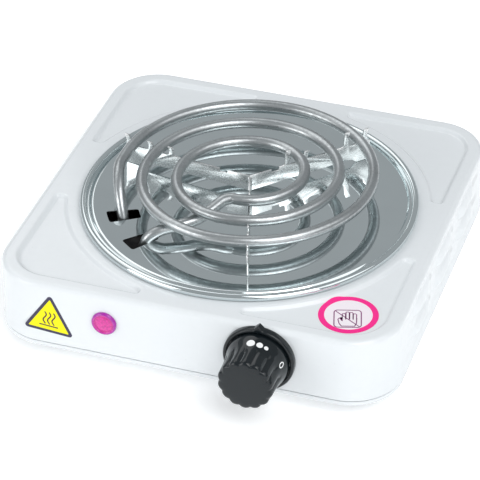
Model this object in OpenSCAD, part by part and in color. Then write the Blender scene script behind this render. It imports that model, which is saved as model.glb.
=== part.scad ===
// Single hot plate burner: a square enamelled casing on rubber feet, a polished drip pan,
// a spiral tube element on a three-armed rest, and a thermostat behind a front knob.
// Millimetres. Z up, the table at z = 0, the knob side towards -Y.

/* [Casing] */
// Width of the top plate, side to side
plate_w = 230; // [222:1:240]
// Depth of the top plate, front to back
plate_d = 227; // [220:1:236]
// Corner radius of the casing seen from above
corner_r = 29; // [26:1:32]
// Height of the pressed top shell
shell_h = 38.5; // [38:0.5:42]
// Sheet thickness of the shell and the base
sheet = 0.8; // [0.6:0.1:1]
// Radius of the edge between top and walls
edge_r = 3; // [2:0.5:4]
// How far the folded hem at the bottom of the shell stands out
flare = 0.8; // [0.4:0.1:1.2]
// Depth of the four pressed corner panels
panel_deep = 2; // [1:0.5:3]
// Radius of the arc that the corner panels keep clear of the pan
panel_arc = 103.5; // [102:0.5:105]
// Flat left between a corner panel and the edge of the plate
panel_edge = 7.7; // [6:0.1:9]

/* [Base] */
// Height of base tray that shows below the shell
base_show = 4; // [3:0.5:5]
// Height of the rubber feet
foot_h = 8; // [7:0.5:10]
// Radius of a rubber foot
foot_r = 9; // [8:0.5:10]
// Distance of each foot's centre from the casing's edges
foot_inset = 25; // [24:1:28]

/* [Drip pan] */
// Outer radius of the drip pan
pan_r = 96.7; // [95:0.1:97.5]
// Pan centre, sideways from the middle of the casing
pan_x = 1.3; // [0:0.1:2]
// Pan centre, forwards or backwards from the middle of the casing
pan_y = -2.8; // [-3:0.1:0]
// Radius of the rolled bead round the pan
bead_r = 2.1; // [1.8:0.1:2.4]
// Sheet thickness of the pan
pan_sheet = 0.6; // [0.5:0.1:0.8]
// Height of the dish above the plate at its middle
dish_mid = 1; // [1:0.1:1.6]
// Height of the dish above the plate at its edge
dish_edge = 2.5; // [2.2:0.1:3]

/* [Element] */
// Radius of the heating tube
tube_r = 3.25; // [3:0.05:3.5]
// Radius of the outermost half turn
coil_r = 69.2; // [68:0.1:70]
// Distance from one half turn to the next
coil_step = 9.8; // [9.6:0.1:10]
// Height of the tube's centre above the plate
coil_lift = 18; // [17.5:0.5:19]

/* [Rest] */
// Thickness of the arms that carry the element
arm_t = 1; // [0.8:0.1:1.2]
// Height of the arms' lower edge above the plate
arm_low = 5; // [4.5:0.5:6]
// Length of an arm from the hub to its foot
arm_len = 79; // [78:0.5:80]

/* [Knob and lamp] */
// Knob centre, sideways from the middle of the casing
knob_x = 43.5; // [42:0.5:48]
// Knob centre below the top plate
knob_drop = 19.5; // [19:0.5:21]
// How far the knob stands out from the front wall
knob_out = 28; // [26:0.5:30]
// Radius of the fixed bezel behind the knob
bezel_r = 20.1; // [19.5:0.1:21]
// Radius of the knob's skirt
skirt_r = 17.6; // [17.2:0.1:18.4]
// Radius of the knob's grip
grip_r = 15.8; // [15:0.1:16.2]
// Number of finger flutes round the grip
flutes = 14; // [10:1:16]
// Lamp centre, sideways from the middle of the casing
lamp_x = -46; // [-50:0.5:-40]
// Lamp centre below the top plate
lamp_drop = 18; // [17:0.5:20]
// Radius of the lamp lens
lens_r = 7.2; // [6.8:0.1:7.5]

/* [Inlet] */
// Inlet gland centre, sideways from the middle of the casing
gland_x = -62; // [-70:1:-55]
// How far the gland stands out from the rear wall
gland_out = 9; // [8:0.5:12]
// Radius of the hole for the mains lead
gland_bore = 3.6; // [3.4:0.1:3.8]

/* [Hidden] */
$fn = 64;
eps = 0.01;
hem_h = 1.2;

shell_z = foot_h + base_show;
top_z = shell_z + shell_h;
front_y = -plate_d / 2;
knob_z = top_z - knob_drop;
lamp_z = top_z - lamp_drop;
gland_z = top_z - 20;
half_x = plate_w / 2;
half_y = plate_d / 2;
// The bounding box is centred on the origin: the knob reaches further than the gland.
shift_y = (knob_out - gland_out) / 2;

pan_hole_r = 88;
dish_r = 89.5;
slot_angles = [211, 232];
slot_in = 63.5;
slot_out = 82;
slot_w = 10;

half_turns = 5;
hub = [-1, 4.1];
arm_angles = [46.5, 172.5, -73];
arm_high = coil_lift - tube_r - 0.05;

// Thermostat depths are measured inwards from the outer face of the front wall.
frame_in = sheet;
frame_t = 1.5;
frame_deep = 12.5;
frame_half = 12;
frame_h = 20;
cam_tilt = 20;
cam_mid = 9.4;
cam_r = 4;
cam_phase = 150.25;
pin_off = 2;
pin_r = 1.2;
pin_tip = 9.96;
pin_end = 15;
spindle_r = 3;
fit = 0.05;
stack_x = knob_x - 8;
stack_z = knob_z - 5.5;
blade_at = [15.3, 18.7, 22.1];
blade_t = [0.4, 0.4, 0.8];
stack_end = 25;
screw_x = 15.5;

function unit(v) = v / norm(v);
function lerp(a, b, t) = a + (b - a) * t;
function polar(r, a) = [r * cos(a), r * sin(a)];
function catmull(a, b, c, d, t) =
    0.5 * (2 * b + (c - a) * t + (2 * a - 5 * b + 4 * c - d) * t * t
           + (3 * b - a - 3 * c + d) * t * t * t);
// A smooth run of points through the route's own points.
function route(p, steps) = concat(
    [for (i = [0 : len(p) - 2], s = [0 : steps - 1])
        catmull(p[max(i - 1, 0)], p[i], p[i + 1], p[min(i + 2, len(p) - 1)], s / steps)],
    [p[len(p) - 1]]);
function tangents(p) =
    [for (i = [0 : len(p) - 1]) unit(p[min(i + 1, len(p) - 1)] - p[max(i - 1, 0)])];
function square_to(n, t) = unit(n - (n * t) * t);
function carried(t, n, i = 0) =
    i == len(t) ? [] : let (m = square_to(n, t[i])) concat([m], carried(t, m, i + 1));

// A round tube swept along points.
module tube(p, r, sides = 8) {
    t = tangents(p);
    n = carried(t, abs(t[0].z) < 0.9 ? [0, 0, 1] : [1, 0, 0]);
    rings = [for (i = [0 : len(p) - 1], k = [0 : sides - 1])
        let (a = 360 * k / sides) p[i] + r * (cos(a) * n[i] + sin(a) * cross(t[i], n[i]))];
    last = (len(p) - 1) * sides;
    walls = [for (i = [0 : len(p) - 2], k = [0 : sides - 1], h = [0, 1])
        let (a = i * sides + k, b = i * sides + (k + 1) % sides)
        h == 0 ? [a, a + sides, b + sides] : [a, b + sides, b]];
    caps = [[for (k = [0 : sides - 1]) k], [for (k = [0 : sides - 1]) last + sides - 1 - k]];
    polyhedron(points = rings, faces = concat(walls, caps), convexity = 6);
}

module casing() {
    translate([0, shift_y, 0]) children();
}

// Things built about the middle of the pan, with z = 0 on the top plate.
module pan_frame() {
    casing() translate([pan_x, pan_y, top_z]) children();
}

// Things built along an axis that runs inwards from the front wall's outer face.
module front_frame(x, z) {
    casing() translate([x, front_y, z]) rotate([-90, 0, 0]) children();
}

module four_corners(x, y) {
    for (i = [-1, 1], j = [-1, 1])
        translate([i * x, j * y, 0]) children();
}

module rounded_plan(x, y, r) {
    square([2 * x, 2 * (y - r)], center = true);
    square([2 * (x - r), 2 * y], center = true);
    four_corners(x - r, y - r) circle(r);
}

// The casing's outer form: a rounded plan with a soft top edge.
module casing_form(inset, low) {
    r = corner_r - inset;
    e = edge_r - inset;
    hull()
        four_corners(half_x - corner_r, half_y - corner_r) {
            translate([0, 0, low]) cylinder(r = r, h = top_z - edge_r - low);
            translate([0, 0, top_z - edge_r])
                rotate_extrude()
                    intersection() {
                        union() {
                            square([r - e, e]);
                            translate([r - e, 0]) circle(e, $fn = 32);
                        }
                        square([r, e]);
                    }
        }
}

// Plan of one pressed panel in a corner of the plate, growing outwards by "more".
module panel_plan(more) {
    x = half_x - panel_edge + more;
    y = half_y - panel_edge + more;
    tip = 28 - more;
    r = corner_r - panel_edge + more;
    difference() {
        union() {
            translate([tip, tip]) square([x - tip, y - tip - r]);
            translate([tip, tip]) square([x - tip - r, y - tip]);
            translate([x - r, y - r]) circle(r);
        }
        circle(panel_arc - more, $fn = 128);
    }
}

module panels(more, deep) {
    for (i = [0, 1], j = [0, 1])
        mirror([i, 0, 0]) mirror([0, j, 0])
            translate([0, 0, top_z - deep]) linear_extrude(deep + 5) panel_plan(more);
}

// Hooded vent pressed out of a side wall, with its mouth at the bottom.
louvre_l = 33;
louvre_h = 7;
louvre_out = 2.6;
louvre_pitch = 48;
louvre_rows = [12, 26];

module louvre_places() {
    for (i = [0, 1], j = [-1 : 1], row = louvre_rows)
        mirror([i, 0, 0])
            translate([half_x - 0.4, j * louvre_pitch + 1, top_z - row])
                children();
}

module louvre_wedge(out, high, long) {
    rotate([90, 0, 0])
        linear_extrude(long, center = true)
            polygon([[-0.6, 0], [out + 0.4, 0], [0, high], [-0.6, high]]);
}

module top_shell() {
    color("white")
        casing() difference() {
            union() {
                difference() {
                    casing_form(0, shell_z);
                    panels(0, panel_deep);
                }
                translate([0, 0, shell_z])
                    linear_extrude(hem_h)
                        rounded_plan(half_x + flare, half_y + flare, corner_r + flare);
                louvre_places() louvre_wedge(louvre_out, louvre_h, louvre_l);
            }
            difference() {
                casing_form(sheet, shell_z - 1);
                panels(sheet, panel_deep + sheet);
            }
            louvre_places()
                translate([0, 0, -eps])
                    louvre_wedge(louvre_out - sheet, louvre_h - 2, louvre_l - 2 * sheet);
            translate([pan_x, pan_y, top_z - 5]) cylinder(r = pan_hole_r, h = 10, $fn = 128);
            wall_hole(knob_x, knob_z, 6);
            wall_hole(knob_x - screw_x, knob_z, 1.8);
            wall_hole(knob_x + screw_x, knob_z, 1.8);
            wall_hole(lamp_x, lamp_z, 6.2);
            translate([gland_x, half_y + 4, gland_z])
                rotate([90, 0, 0]) cylinder(r = 7.2, h = 8);
        }
}

module wall_hole(x, z, r) {
    translate([x, front_y - 4, z]) rotate([-90, 0, 0]) cylinder(r = r, h = 8);
}

tray_gap = 0.5;
tray_h = 11;
tray_x = half_x - sheet - tray_gap;
tray_y = half_y - sheet - tray_gap;
tray_r = corner_r - sheet - tray_gap;

module foot_places() {
    four_corners(half_x - foot_inset, half_y - foot_inset) children();
}

module base_plate() {
    color("white")
        casing() difference() {
            translate([0, 0, foot_h]) linear_extrude(tray_h) rounded_plan(tray_x, tray_y, tray_r);
            translate([0, 0, foot_h + sheet])
                linear_extrude(tray_h)
                    rounded_plan(tray_x - sheet, tray_y - sheet, tray_r - sheet);
            foot_places() cylinder(r = 2.2, h = 40);
            for (i = [-1, 1], j = [-2 : 2])
                translate([i * 38, j * 12, 0]) vent_slot(44, 4);
            translate([30, half_y - 22, 0]) cylinder(r = 2.1, h = 30);
        }
}

module vent_slot(long, wide) {
    translate([0, 0, foot_h - 1])
        linear_extrude(4) {
            square([long - wide, wide], center = true);
            for (i = [-1, 1]) translate([i * (long - wide) / 2, 0]) circle(wide / 2);
        }
}

module rubber_feet() {
    color("dimgray")
        casing() foot_places() difference() {
            cylinder(r1 = foot_r - 1, r2 = foot_r, h = foot_h);
            translate([0, 0, -1]) cylinder(r = 5, h = 4.5);
            cylinder(r = 2, h = 30);
        }
}

bracket_z = foot_h + tray_h + 3;

module base_screws() {
    color("silver")
        casing() foot_places() {
            translate([0, 0, 1.3]) cylinder(r = 4.2, h = 2.2);
            translate([0, 0, 3]) cylinder(r = 1.75, h = bracket_z + 2);
        }
}

// Brackets welded to the side walls, which take the base screws.
module corner_brackets() {
    out = foot_inset - sheet;
    color("silver")
        casing() for (i = [0, 1], j = [0, 1])
            mirror([i, 0, 0]) mirror([0, j, 0])
                translate([half_x - foot_inset, half_y - foot_inset, 0]) difference() {
                    union() {
                        translate([-8, -20, bracket_z]) cube([out + 8, 15, 1.2]);
                        translate([-8, -20, bracket_z]) cube([16, 27, 1.2]);
                        translate([out - 1.2, -20, bracket_z]) cube([1.2, 15, 13]);
                    }
                    translate([0, 0, bracket_z - 1]) cylinder(r = 1.85, h = 4);
                }
}

// Height of the dish above the plate at radius r.
function dish_z(r) = dish_mid + (dish_edge - dish_mid) * pow(r / dish_r, 2);
bead_at = pan_r - bead_r;
valley_z = dish_edge - 1.3;
pan_skin = concat(
    [for (i = [0 : 8]) let (r = dish_r * i / 8) [r, dish_z(r)]],
    [[dish_r + 1.4, dish_edge - 1], [dish_r + 2.4, valley_z]]);
// The skin meets the bead below the bead's middle, between these two angles.
bead_from = 180 + asin((bead_r - valley_z) / bead_r);
bead_to = 180 + asin((bead_r - valley_z + pan_sheet) / bead_r) - 360;
bead_steps = 30;
bead_arc = [for (i = [0 : bead_steps])
    [bead_at, bead_r] + polar(bead_r, lerp(bead_from, bead_to, i / bead_steps))];

module drip_pan() {
    color("silver")
        pan_frame() difference() {
            rotate_extrude($fn = 128)
                polygon(concat(pan_skin, bead_arc, [for (i = [len(pan_skin) - 1 : -1 : 0])
                    pan_skin[i] - [0, pan_sheet]]));
            for (a = slot_angles)
                rotate([0, 0, a])
                    translate([slot_in, -slot_w / 2, -5]) cube([slot_out - slot_in, slot_w, 12]);
            arm_places() translate([tab_at - 0.3, -1, -5]) cube([tab_l + 0.6, 2, 12]);
        }
}

module pan_stud() {
    color("silver")
        pan_frame() {
            translate([0, 0, -21]) cylinder(r = 2.5, h = 21 + dish_mid - pan_sheet);
            translate([0, 0, dish_mid - pan_sheet - 1]) cylinder(r = 6, h = 1);
        }
}

bar_t = 1.5;
bar_low = -9.5;
bar_w = 16;

// Bar across the plate's hole: its ends bear on the plate's underside, its middle is let down.
module bridge_bar() {
    color("silver")
        pan_frame() difference() {
            rotate([90, 0, 0])
                linear_extrude(bar_w, center = true)
                    polygon([[-96, -sheet], [-84, -sheet], [-72, bar_low + bar_t],
                             [72, bar_low + bar_t], [84, -sheet], [96, -sheet],
                             [96, -sheet - bar_t], [83, -sheet - bar_t], [71, bar_low],
                             [-71, bar_low], [-83, -sheet - bar_t], [-96, -sheet - bar_t]]);
            cylinder(r = 2.7, h = 60, center = true);
        }
}

shield_t = 0.6;
shield_r = 82;
shield_top = bar_low;
seal_top = -17;
lead_down = [[-61.8, -38], [-43.6, -56.6]];

module heat_shield() {
    color("lightgray")
        pan_frame() difference() {
            translate([0, 0, shield_top - 3]) cylinder(r = shield_r, h = 3);
            translate([0, 0, shield_top - 3 - shield_t]) cylinder(r = shield_r - shield_t, h = 3);
            cylinder(r = 2.7, h = 60, center = true);
            for (p = lead_down) translate([p.x, p.y, -20]) cylinder(r = 5, h = 30);
        }
}

module pan_nut() {
    color("silver")
        pan_frame() difference() {
            translate([0, 0, shield_top - shield_t - 4]) cylinder(r = 4.6, h = 4, $fn = 6);
            cylinder(r = 2.5, h = 60, center = true);
        }
}

// Plate that keeps the two ends of the element in place under the shield.
module lead_bracket() {
    mid = (lead_down[0] + lead_down[1]) / 2;
    span = lead_down[1] - lead_down[0];
    turn = atan2(span.y, span.x);
    top = shield_top - shield_t;
    color("silver")
        pan_frame() difference() {
            translate([mid.x, mid.y, 0]) rotate([0, 0, turn]) {
                translate([-19, -7, top - 4]) cube([38, 14, 1]);
                for (i = [-1, 1]) translate([i * 18.5 - 0.5, -7, top - 4]) cube([1, 14, 4]);
            }
            for (p = lead_down) translate([p.x, p.y, -30]) cylinder(r = tube_r + 0.1, h = 40);
        }
}

// The element: a quarter turn, then half turns whose centres alternate along Y, so that the
// tube steps inwards by one pitch at each half turn.
module heater_coil() {
    color("gray")
        pan_frame() {
            translate([0, 0, coil_lift]) {
                arc_tube(coil_r + coil_step / 2, 90, 90);
                for (k = [0 : half_turns - 1])
                    translate([0, (k % 2 == 0 ? 1 : -1) * coil_step / 2, 0])
                        arc_tube(coil_r - k * coil_step, k % 2 == 0 ? -90 : 90, 180);
            }
            tube(route(outer_lead, 3), tube_r, 16);
            tube(route(inner_lead, 3), tube_r, 16);
        }
}

module arc_tube(r, start, sweep) {
    rotate([0, 0, start]) rotate_extrude(angle = sweep, $fn = 96) translate([r, 0]) circle(tube_r);
}

coil_in = coil_r - (half_turns - 1) * coil_step - coil_step / 2;
coil_out = coil_r + coil_step / 2;
outer_lead = [
    [-coil_out, 0, coil_lift], [-coil_out + 0.1, -4, coil_lift], [-73.6, -12, coil_lift],
    [-71.8, -19, 17.3], [-69.2, -26, 14], [-66.2, -32, 8.5], [-63.4, -36.2, 1.5],
    [-62, -37.8, -5], [lead_down[0].x, lead_down[0].y, -11],
    [lead_down[0].x, lead_down[0].y, seal_top]];
inner_lead = [
    [0, -coil_in, coil_lift], [-2, -coil_in - 0.1, coil_lift], [-6.5, -27.4, 17.2],
    [-12, -33, 13.2], [-18, -39.6, 10.1], [-26, -46.8, 9], [-34, -52.4, 8],
    [-40, -55.6, 4.6], [-42.9, -56.6, -0.5], [-43.6, -56.6, -6],
    [lead_down[1].x, lead_down[1].y, -11], [lead_down[1].x, lead_down[1].y, seal_top]];

module end_seals() {
    color("ivory")
        pan_frame() for (p = lead_down)
            translate([p.x, p.y, seal_top - 3 - 2 * fit]) difference() {
                cylinder(r = tube_r - 0.3, h = 3);
                translate([0, 0, -1]) cylinder(r = 1.2, h = 6);
            }
}

module terminal_pins() {
    color("silver")
        pan_frame() for (p = lead_down) {
            translate([p.x, p.y, seal_top - 10]) cylinder(r = 1.2, h = 10);
            translate([p.x - 3.15, p.y - 0.4, seal_top - 14]) cube([6.3, 0.8, 6]);
        }
}

tab_at = 71;
tab_l = 6;

module arm_places() {
    for (a = arm_angles) translate([hub.x, hub.y, 0]) rotate([0, 0, a]) children();
}

// Outline of an arm from the side. Fingers are [start, end, height] along its upper edge.
module arm(start, fingers) {
    foot = dish_z(arm_len - 4) + 0.05;
    rotate([90, 0, 0])
        linear_extrude(arm_t, center = true)
            difference() {
                union() {
                    polygon([[start, arm_low], [arm_len - 12, arm_low], [arm_len - 9, foot],
                             [arm_len, foot], [arm_len, arm_high], [start, arm_high]]);
                    translate([tab_at, -4]) square([tab_l, foot + 5]);
                    for (f = fingers) finger(f);
                }
                translate([14, arm_high - 2]) square([5, 4]);
            }
}

module finger(f) {
    lean = 1.2;
    polygon([[f[0], arm_high - 1], [f[1], arm_high - 1], [f[1], f[2] - 2.5],
             [f[1] + lean, f[2]], [f[0] + lean, f[2]], [f[0], f[2] - 3]]);
}

right_fingers = [[22.6, 25.6, 24], [34.6, 37.6, 20], [61.4, 64.4, 24], [74, 77, 23]];
left_fingers = [[48.2, 51.2, 20], [61.4, 64.4, 20], [76.4, 79, 21.5]];
front_fingers = [[54, 56.6, 20], [74, 77, 21.5]];

hub_r = 1.2;

module support_vee() {
    color("gainsboro")
        pan_frame() translate([hub.x, hub.y, 0]) {
            translate([0, 0, arm_low + 0.3]) cylinder(r = hub_r, h = arm_high - arm_low - 0.6);
            rotate([0, 0, arm_angles[0]]) arm(arm_t / 3, right_fingers);
            rotate([0, 0, arm_angles[1]]) arm(arm_t / 3, left_fingers);
        }
}

module support_front_arm() {
    color("gainsboro")
        pan_frame() translate([hub.x, hub.y, 0]) {
            rotate([0, 0, arm_angles[2]]) arm(hub_r + 0.1, front_fingers);
        }
}

module knob() {
    color("#1a1c1e")
        front_frame(knob_x, knob_z) mirror([0, 0, 1]) difference() {
            rotate_extrude($fn = 96)
                polygon([[0, 2], [skirt_r - 0.6, 2], [skirt_r, 2.6], [skirt_r, 6],
                         [skirt_r - 0.6, 8.4], [skirt_r - 1.1, 11], [grip_r + 0.3, 14],
                         [grip_r, 17], [grip_r - 0.2, knob_out - 2.4],
                         [grip_r - 0.9, knob_out - 1.1], [grip_r - 2.2, knob_out - 0.5],
                         [0, knob_out]]);
            for (i = [0 : flutes - 1])
                rotate([0, 0, 360 * (i + 0.5) / flutes])
                    translate([grip_r + 1.1, 0, 14.5]) cylinder(r = 2, h = knob_out);
            difference() {
                translate([0, 0, 1]) cylinder(r = 14, h = 18);
                cylinder(r = 5.5, h = 40);
            }
            difference() {
                cylinder(r = spindle_r + 0.02, h = 20.5);
                translate([spindle_r - 1, -5, 0]) cube([5, 10, 40]);
            }
            translate([1.95, -2, 0]) cube([0.65, 4, 16]);
        }
}

// Spring strip that presses the knob's bore onto the flat of the spindle.
module knob_clip() {
    color("silver")
        front_frame(knob_x, knob_z) translate([2.05, -1.9, -15.5]) cube([0.5, 3.8, 12.5]);
}

module knob_bezel() {
    color("#151617")
        front_frame(knob_x, knob_z) mirror([0, 0, 1]) difference() {
            union() {
                rotate_extrude($fn = 96)
                    polygon([[0, 0], [bezel_r, 0], [bezel_r, 3.4], [bezel_r - 0.7, 4.2],
                             [skirt_r + 0.9, 4.2], [skirt_r + 0.5, 3.8], [skirt_r + 0.5, 1.4],
                             [0, 1.4]]);
                translate([0, -bezel_r + 0.4, 0]) cylinder(r = 2.7, h = 4.2);
            }
            translate([0, 0, -1]) cylinder(r = 5.2, h = 10);
            translate([0, 0, 1.4]) cylinder(r = skirt_r + 0.5, h = 10);
            for (i = [-1, 1]) translate([i * screw_x, 0, -1]) cylinder(r = 1.8, h = 10);
            translate([-20, knob_z - shell_z - hem_h - fit, -1])
                cube([40, 20, 1 + flare + fit]);
        }
}

module thermostat_spindle() {
    color("goldenrod")
        front_frame(knob_x, knob_z) difference() {
            union() {
                translate([0, 0, -20]) cylinder(r = spindle_r, h = 28);
                translate([0, 0, 7.2]) cylinder(r = cam_r, h = 4);
            }
            translate([spindle_r - 1, -5, -21]) cube([5, 10, 19.5]);
            translate([0, 0, cam_mid])
                rotate([0, 0, -cam_phase]) rotate([0, -cam_tilt, 0])
                    translate([-10, -10, 0]) cube([20, 20, 10]);
        }
}

module thermostat_bush() {
    color("goldenrod")
        front_frame(knob_x, knob_z) difference() {
            union() {
                translate([0, 0, -1.2]) cylinder(r = 4.6, h = 8.2);
                translate([0, 0, frame_in + frame_t]) cylinder(r = 6.5, h = 1.6);
            }
            translate([0, 0, -5]) cylinder(r = spindle_r + fit, h = 20);
        }
}

module thermostat_frame() {
    back = frame_deep - frame_t;
    color("silver")
        front_frame(knob_x, knob_z) difference() {
            union() {
                translate([-20, -frame_h / 2, frame_in]) cube([40, frame_h, frame_t]);
                for (i = [0, 1])
                    mirror([i, 0, 0])
                        translate([frame_half - 1.2, -frame_h / 2 + 3, frame_in])
                            cube([1.2, frame_h - 6, frame_deep - frame_in]);
                translate([-frame_half, -frame_h / 2, back])
                    cube([2 * frame_half, frame_h, frame_t]);
            }
            cylinder(r = 4.6, h = 5);
            for (i = [-1, 1]) translate([i * screw_x, 0, 0]) cylinder(r = 1.5, h = 5);
            translate([0, -pin_off, 5]) cylinder(r = pin_r + fit, h = 20);
            translate([stack_x - knob_x, knob_z - stack_z, 5]) cylinder(r = 1.5, h = 20);
        }
}

module thermostat_screws() {
    color("silver")
        front_frame(knob_x, knob_z) for (i = [-1, 1])
            translate([i * screw_x, 0, 0]) {
                translate([0, 0, -1.4]) mirror([0, 0, 1]) cylinder(r = 2.4, h = 0.5);
                translate([0, 0, -1.4]) cylinder(r = 1.5, h = 8);
            }
}

// Ceramic pin that rides on the slanted end of the spindle and pushes the spring blade.
module push_pin() {
    color("ivory")
        front_frame(knob_x, knob_z) translate([0, -pin_off, 0]) {
            translate([0, 0, pin_tip + pin_r]) cylinder(r = pin_r, h = pin_end - pin_tip - pin_r);
            translate([0, 0, pin_tip + pin_r]) sphere(pin_r);
        }
}

module stack_ring(from, to) {
    front_frame(stack_x, stack_z)
        translate([0, 0, from]) difference() {
            cylinder(r = 3.6, h = to - from);
            translate([0, 0, -1]) cylinder(r = 1.3, h = to - from + 2);
        }
}

module ceramic_stack() {
    color("ivory") {
        stack_ring(frame_deep, blade_at[0]);
        stack_ring(blade_at[0] + blade_t[0], blade_at[1]);
        stack_ring(blade_at[1] + blade_t[1], blade_at[2]);
        stack_ring(blade_at[2] + blade_t[2], stack_end);
    }
}

// A flat strip held in the ceramic stack, with its free end past the spindle's axis.
module blade(i, tail, reach) {
    front_frame(stack_x, stack_z)
        translate([0, 0, blade_at[i]]) difference() {
            linear_extrude(blade_t[i]) {
                translate([-tail, -3]) square([tail, 6]);
                rotate([0, 0, -16]) translate([0, -3]) square([reach, 6]);
                circle(4);
            }
            translate([0, 0, -1]) cylinder(r = 1.3, h = 4);
        }
}

module spring_blade() {
    color("peru") blade(0, 16, 22);
}

module contact_arm() {
    color("peru") blade(1, 16, 22);
}

module bimetal_strip() {
    color("silver") blade(2, 5, 25);
}

module silver_contacts() {
    color("silver")
        front_frame(stack_x, stack_z) rotate([0, 0, -16]) translate([19, 0, 0]) {
            translate([0, 0, blade_at[0] + blade_t[0]]) cylinder(r = 1.8, h = 1.1);
            translate([0, 0, blade_at[1] - 1.2]) cylinder(r = 1.8, h = 1.2);
        }
}

module stack_rivet() {
    color("silver")
        front_frame(stack_x, stack_z) {
            translate([0, 0, frame_deep - frame_t - 1]) cylinder(r = 2.4, h = 1);
            translate([0, 0, frame_deep - frame_t]) cylinder(r = 1.2, h = stack_end - 11);
            translate([0, 0, stack_end]) cylinder(r = 2.4, h = 1);
        }
}

module indicator_lens() {
    color("#c51b9e")
        front_frame(lamp_x, lamp_z) difference() {
            union() {
                mirror([0, 0, 1])
                    rotate_extrude()
                        polygon([[0, 0], [lens_r, 0], [lens_r, 0.8], [lens_r - 0.5, 1.6],
                                 [lens_r - 1.2, 1.9], [lens_r - 2, 1.5], [0, 2]]);
                cylinder(r = 6, h = 12);
            }
            translate([0, 0, 0.5]) cylinder(r = 5, h = 20);
        }
}

module indicator_lamp() {
    color("ivory")
        front_frame(lamp_x, lamp_z) {
            translate([0, 0, 10]) cylinder(r = 5, h = 9);
            translate([0, 0, 3]) cylinder(r = 2.4, h = 7);
        }
}

module lens_clip() {
    color("silver")
        front_frame(lamp_x, lamp_z) translate([0, 0, sheet]) difference() {
            cylinder(r = 9, h = 0.6);
            translate([0, 0, -1]) cylinder(r = 6, h = 4);
        }
}

// Things built along an axis that runs outwards through the rear wall.
module rear_frame() {
    casing() translate([gland_x, half_y, gland_z]) rotate([-90, 0, 0]) children();
}

module cord_gland() {
    color("#1b1c1e")
        rear_frame() difference() {
            union() {
                translate([0, 0, -12]) cylinder(r = 6.9, h = 14);
                translate([0, 0, 0.2]) cylinder(r = 9.5, h = 2.6);
                translate([0, 0, 2.6]) cylinder(r1 = 7.6, r2 = 6, h = gland_out - 2.6);
            }
            translate([0, 0, -20]) cylinder(r = gland_bore, h = 40);
        }
}

module gland_nut() {
    color("#1b1c1e")
        rear_frame() difference() {
            translate([0, 0, -5.4]) cylinder(r = 10.4, h = 4.2, $fn = 6);
            translate([0, 0, -10]) cylinder(r = 6.9, h = 20);
        }
}

anchor_y = half_y - 26;
anchor_top = gland_z;

module cord_anchor() {
    color("ivory")
        casing() translate([gland_x, anchor_y, 0]) difference() {
            translate([-13, -5, foot_h + sheet]) cube([26, 10, anchor_top - foot_h - sheet]);
            translate([0, -10, gland_z]) rotate([-90, 0, 0]) cylinder(r = gland_bore, h = 30);
            for (i = [-1, 1]) translate([i * 9, 0, anchor_top - 10]) cylinder(r = 1.3, h = 20);
        }
}

module cord_saddle() {
    color("ivory")
        casing() translate([gland_x, anchor_y, anchor_top + 0.6]) difference() {
            union() {
                translate([-13, -4, 0]) cube([26, 8, 2]);
                rotate([90, 0, 0]) translate([0, 0, -4]) cylinder(r = gland_bore + 2, h = 8);
            }
            translate([0, 0, -0.6]) rotate([90, 0, 0]) cylinder(r = gland_bore, h = 30, center = true);
            translate([-15, -10, -12]) cube([30, 20, 12]);
            for (i = [-1, 1]) translate([i * 9, 0, -4]) cylinder(r = 1.6, h = 20);
        }
}

module saddle_screws() {
    color("silver")
        casing() for (i = [-1, 1])
            translate([gland_x + i * 9, anchor_y, anchor_top]) {
                translate([0, 0, 2.6]) cylinder(r = 2.8, h = 1.8);
                translate([0, 0, -8]) cylinder(r = 1.3, h = 10.6);
            }
}

block_x = -20;
block_y = half_y - 24;
block_pitch = 10;

module terminal_block() {
    color("ivory")
        casing() translate([block_x, block_y, foot_h + sheet]) difference() {
            union() {
                translate([-16, -9, 0]) cube([32, 18, 4]);
                for (i = [-1 : 1])
                    translate([i * block_pitch - 4.2, -8, 0]) cube([8.4, 16, 13]);
            }
            for (i = [-1 : 1]) {
                translate([i * block_pitch, 0, 8]) rotate([90, 0, 0])
                    cylinder(r = 2, h = 40, center = true);
                for (j = [-1, 1])
                    translate([i * block_pitch, j * 4, 8]) cylinder(r = 1.7, h = 20);
            }
        }
}

module terminal_screws() {
    color("goldenrod")
        casing() translate([block_x, block_y, foot_h + sheet])
            for (i = [-1 : 1], j = [-1, 1])
                translate([i * block_pitch, j * 4, 9.6]) cylinder(r = 1.6, h = 3);
}

module earth_screw() {
    color("silver")
        casing() translate([30, half_y - 22, foot_h]) {
            translate([0, 0, -2.4]) cylinder(r = 3.8, h = 2.4);
            cylinder(r = 2, h = 12);
        }
}

module earth_nut() {
    color("goldenrod")
        casing() translate([30, half_y - 22, foot_h + sheet]) difference() {
            cylinder(r = 4.1, h = 3.2, $fn = 6);
            translate([0, 0, -1]) cylinder(r = 2, h = 8);
        }
}

fuse_at = [-10, 46];
fuse_z = shield_top - shield_t - 3;

module thermal_fuse() {
    color("silver")
        pan_frame() translate([fuse_at.x, fuse_at.y, fuse_z]) rotate([0, 90, 0]) {
            cylinder(r = 2, h = 12, center = true);
            cylinder(r = 0.5, h = 26, center = true);
        }
}

module fuse_clip() {
    color("silver")
        pan_frame() translate([fuse_at.x, fuse_at.y, fuse_z]) difference() {
            union() {
                rotate([0, 90, 0]) cylinder(r = 2.6, h = 5, center = true);
                translate([-2.5, 0, 2.2]) cube([5, 10, 0.8]);
            }
            rotate([0, 90, 0]) cylinder(r = 2, h = 30, center = true);
        }
}

// Inside wiring, routed by hand between the terminals, in casing coordinates.
wire_r = 1.3;
// Height of the wires' ends in front of the terminal block
entry_z = foot_h + sheet + 8;
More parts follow.
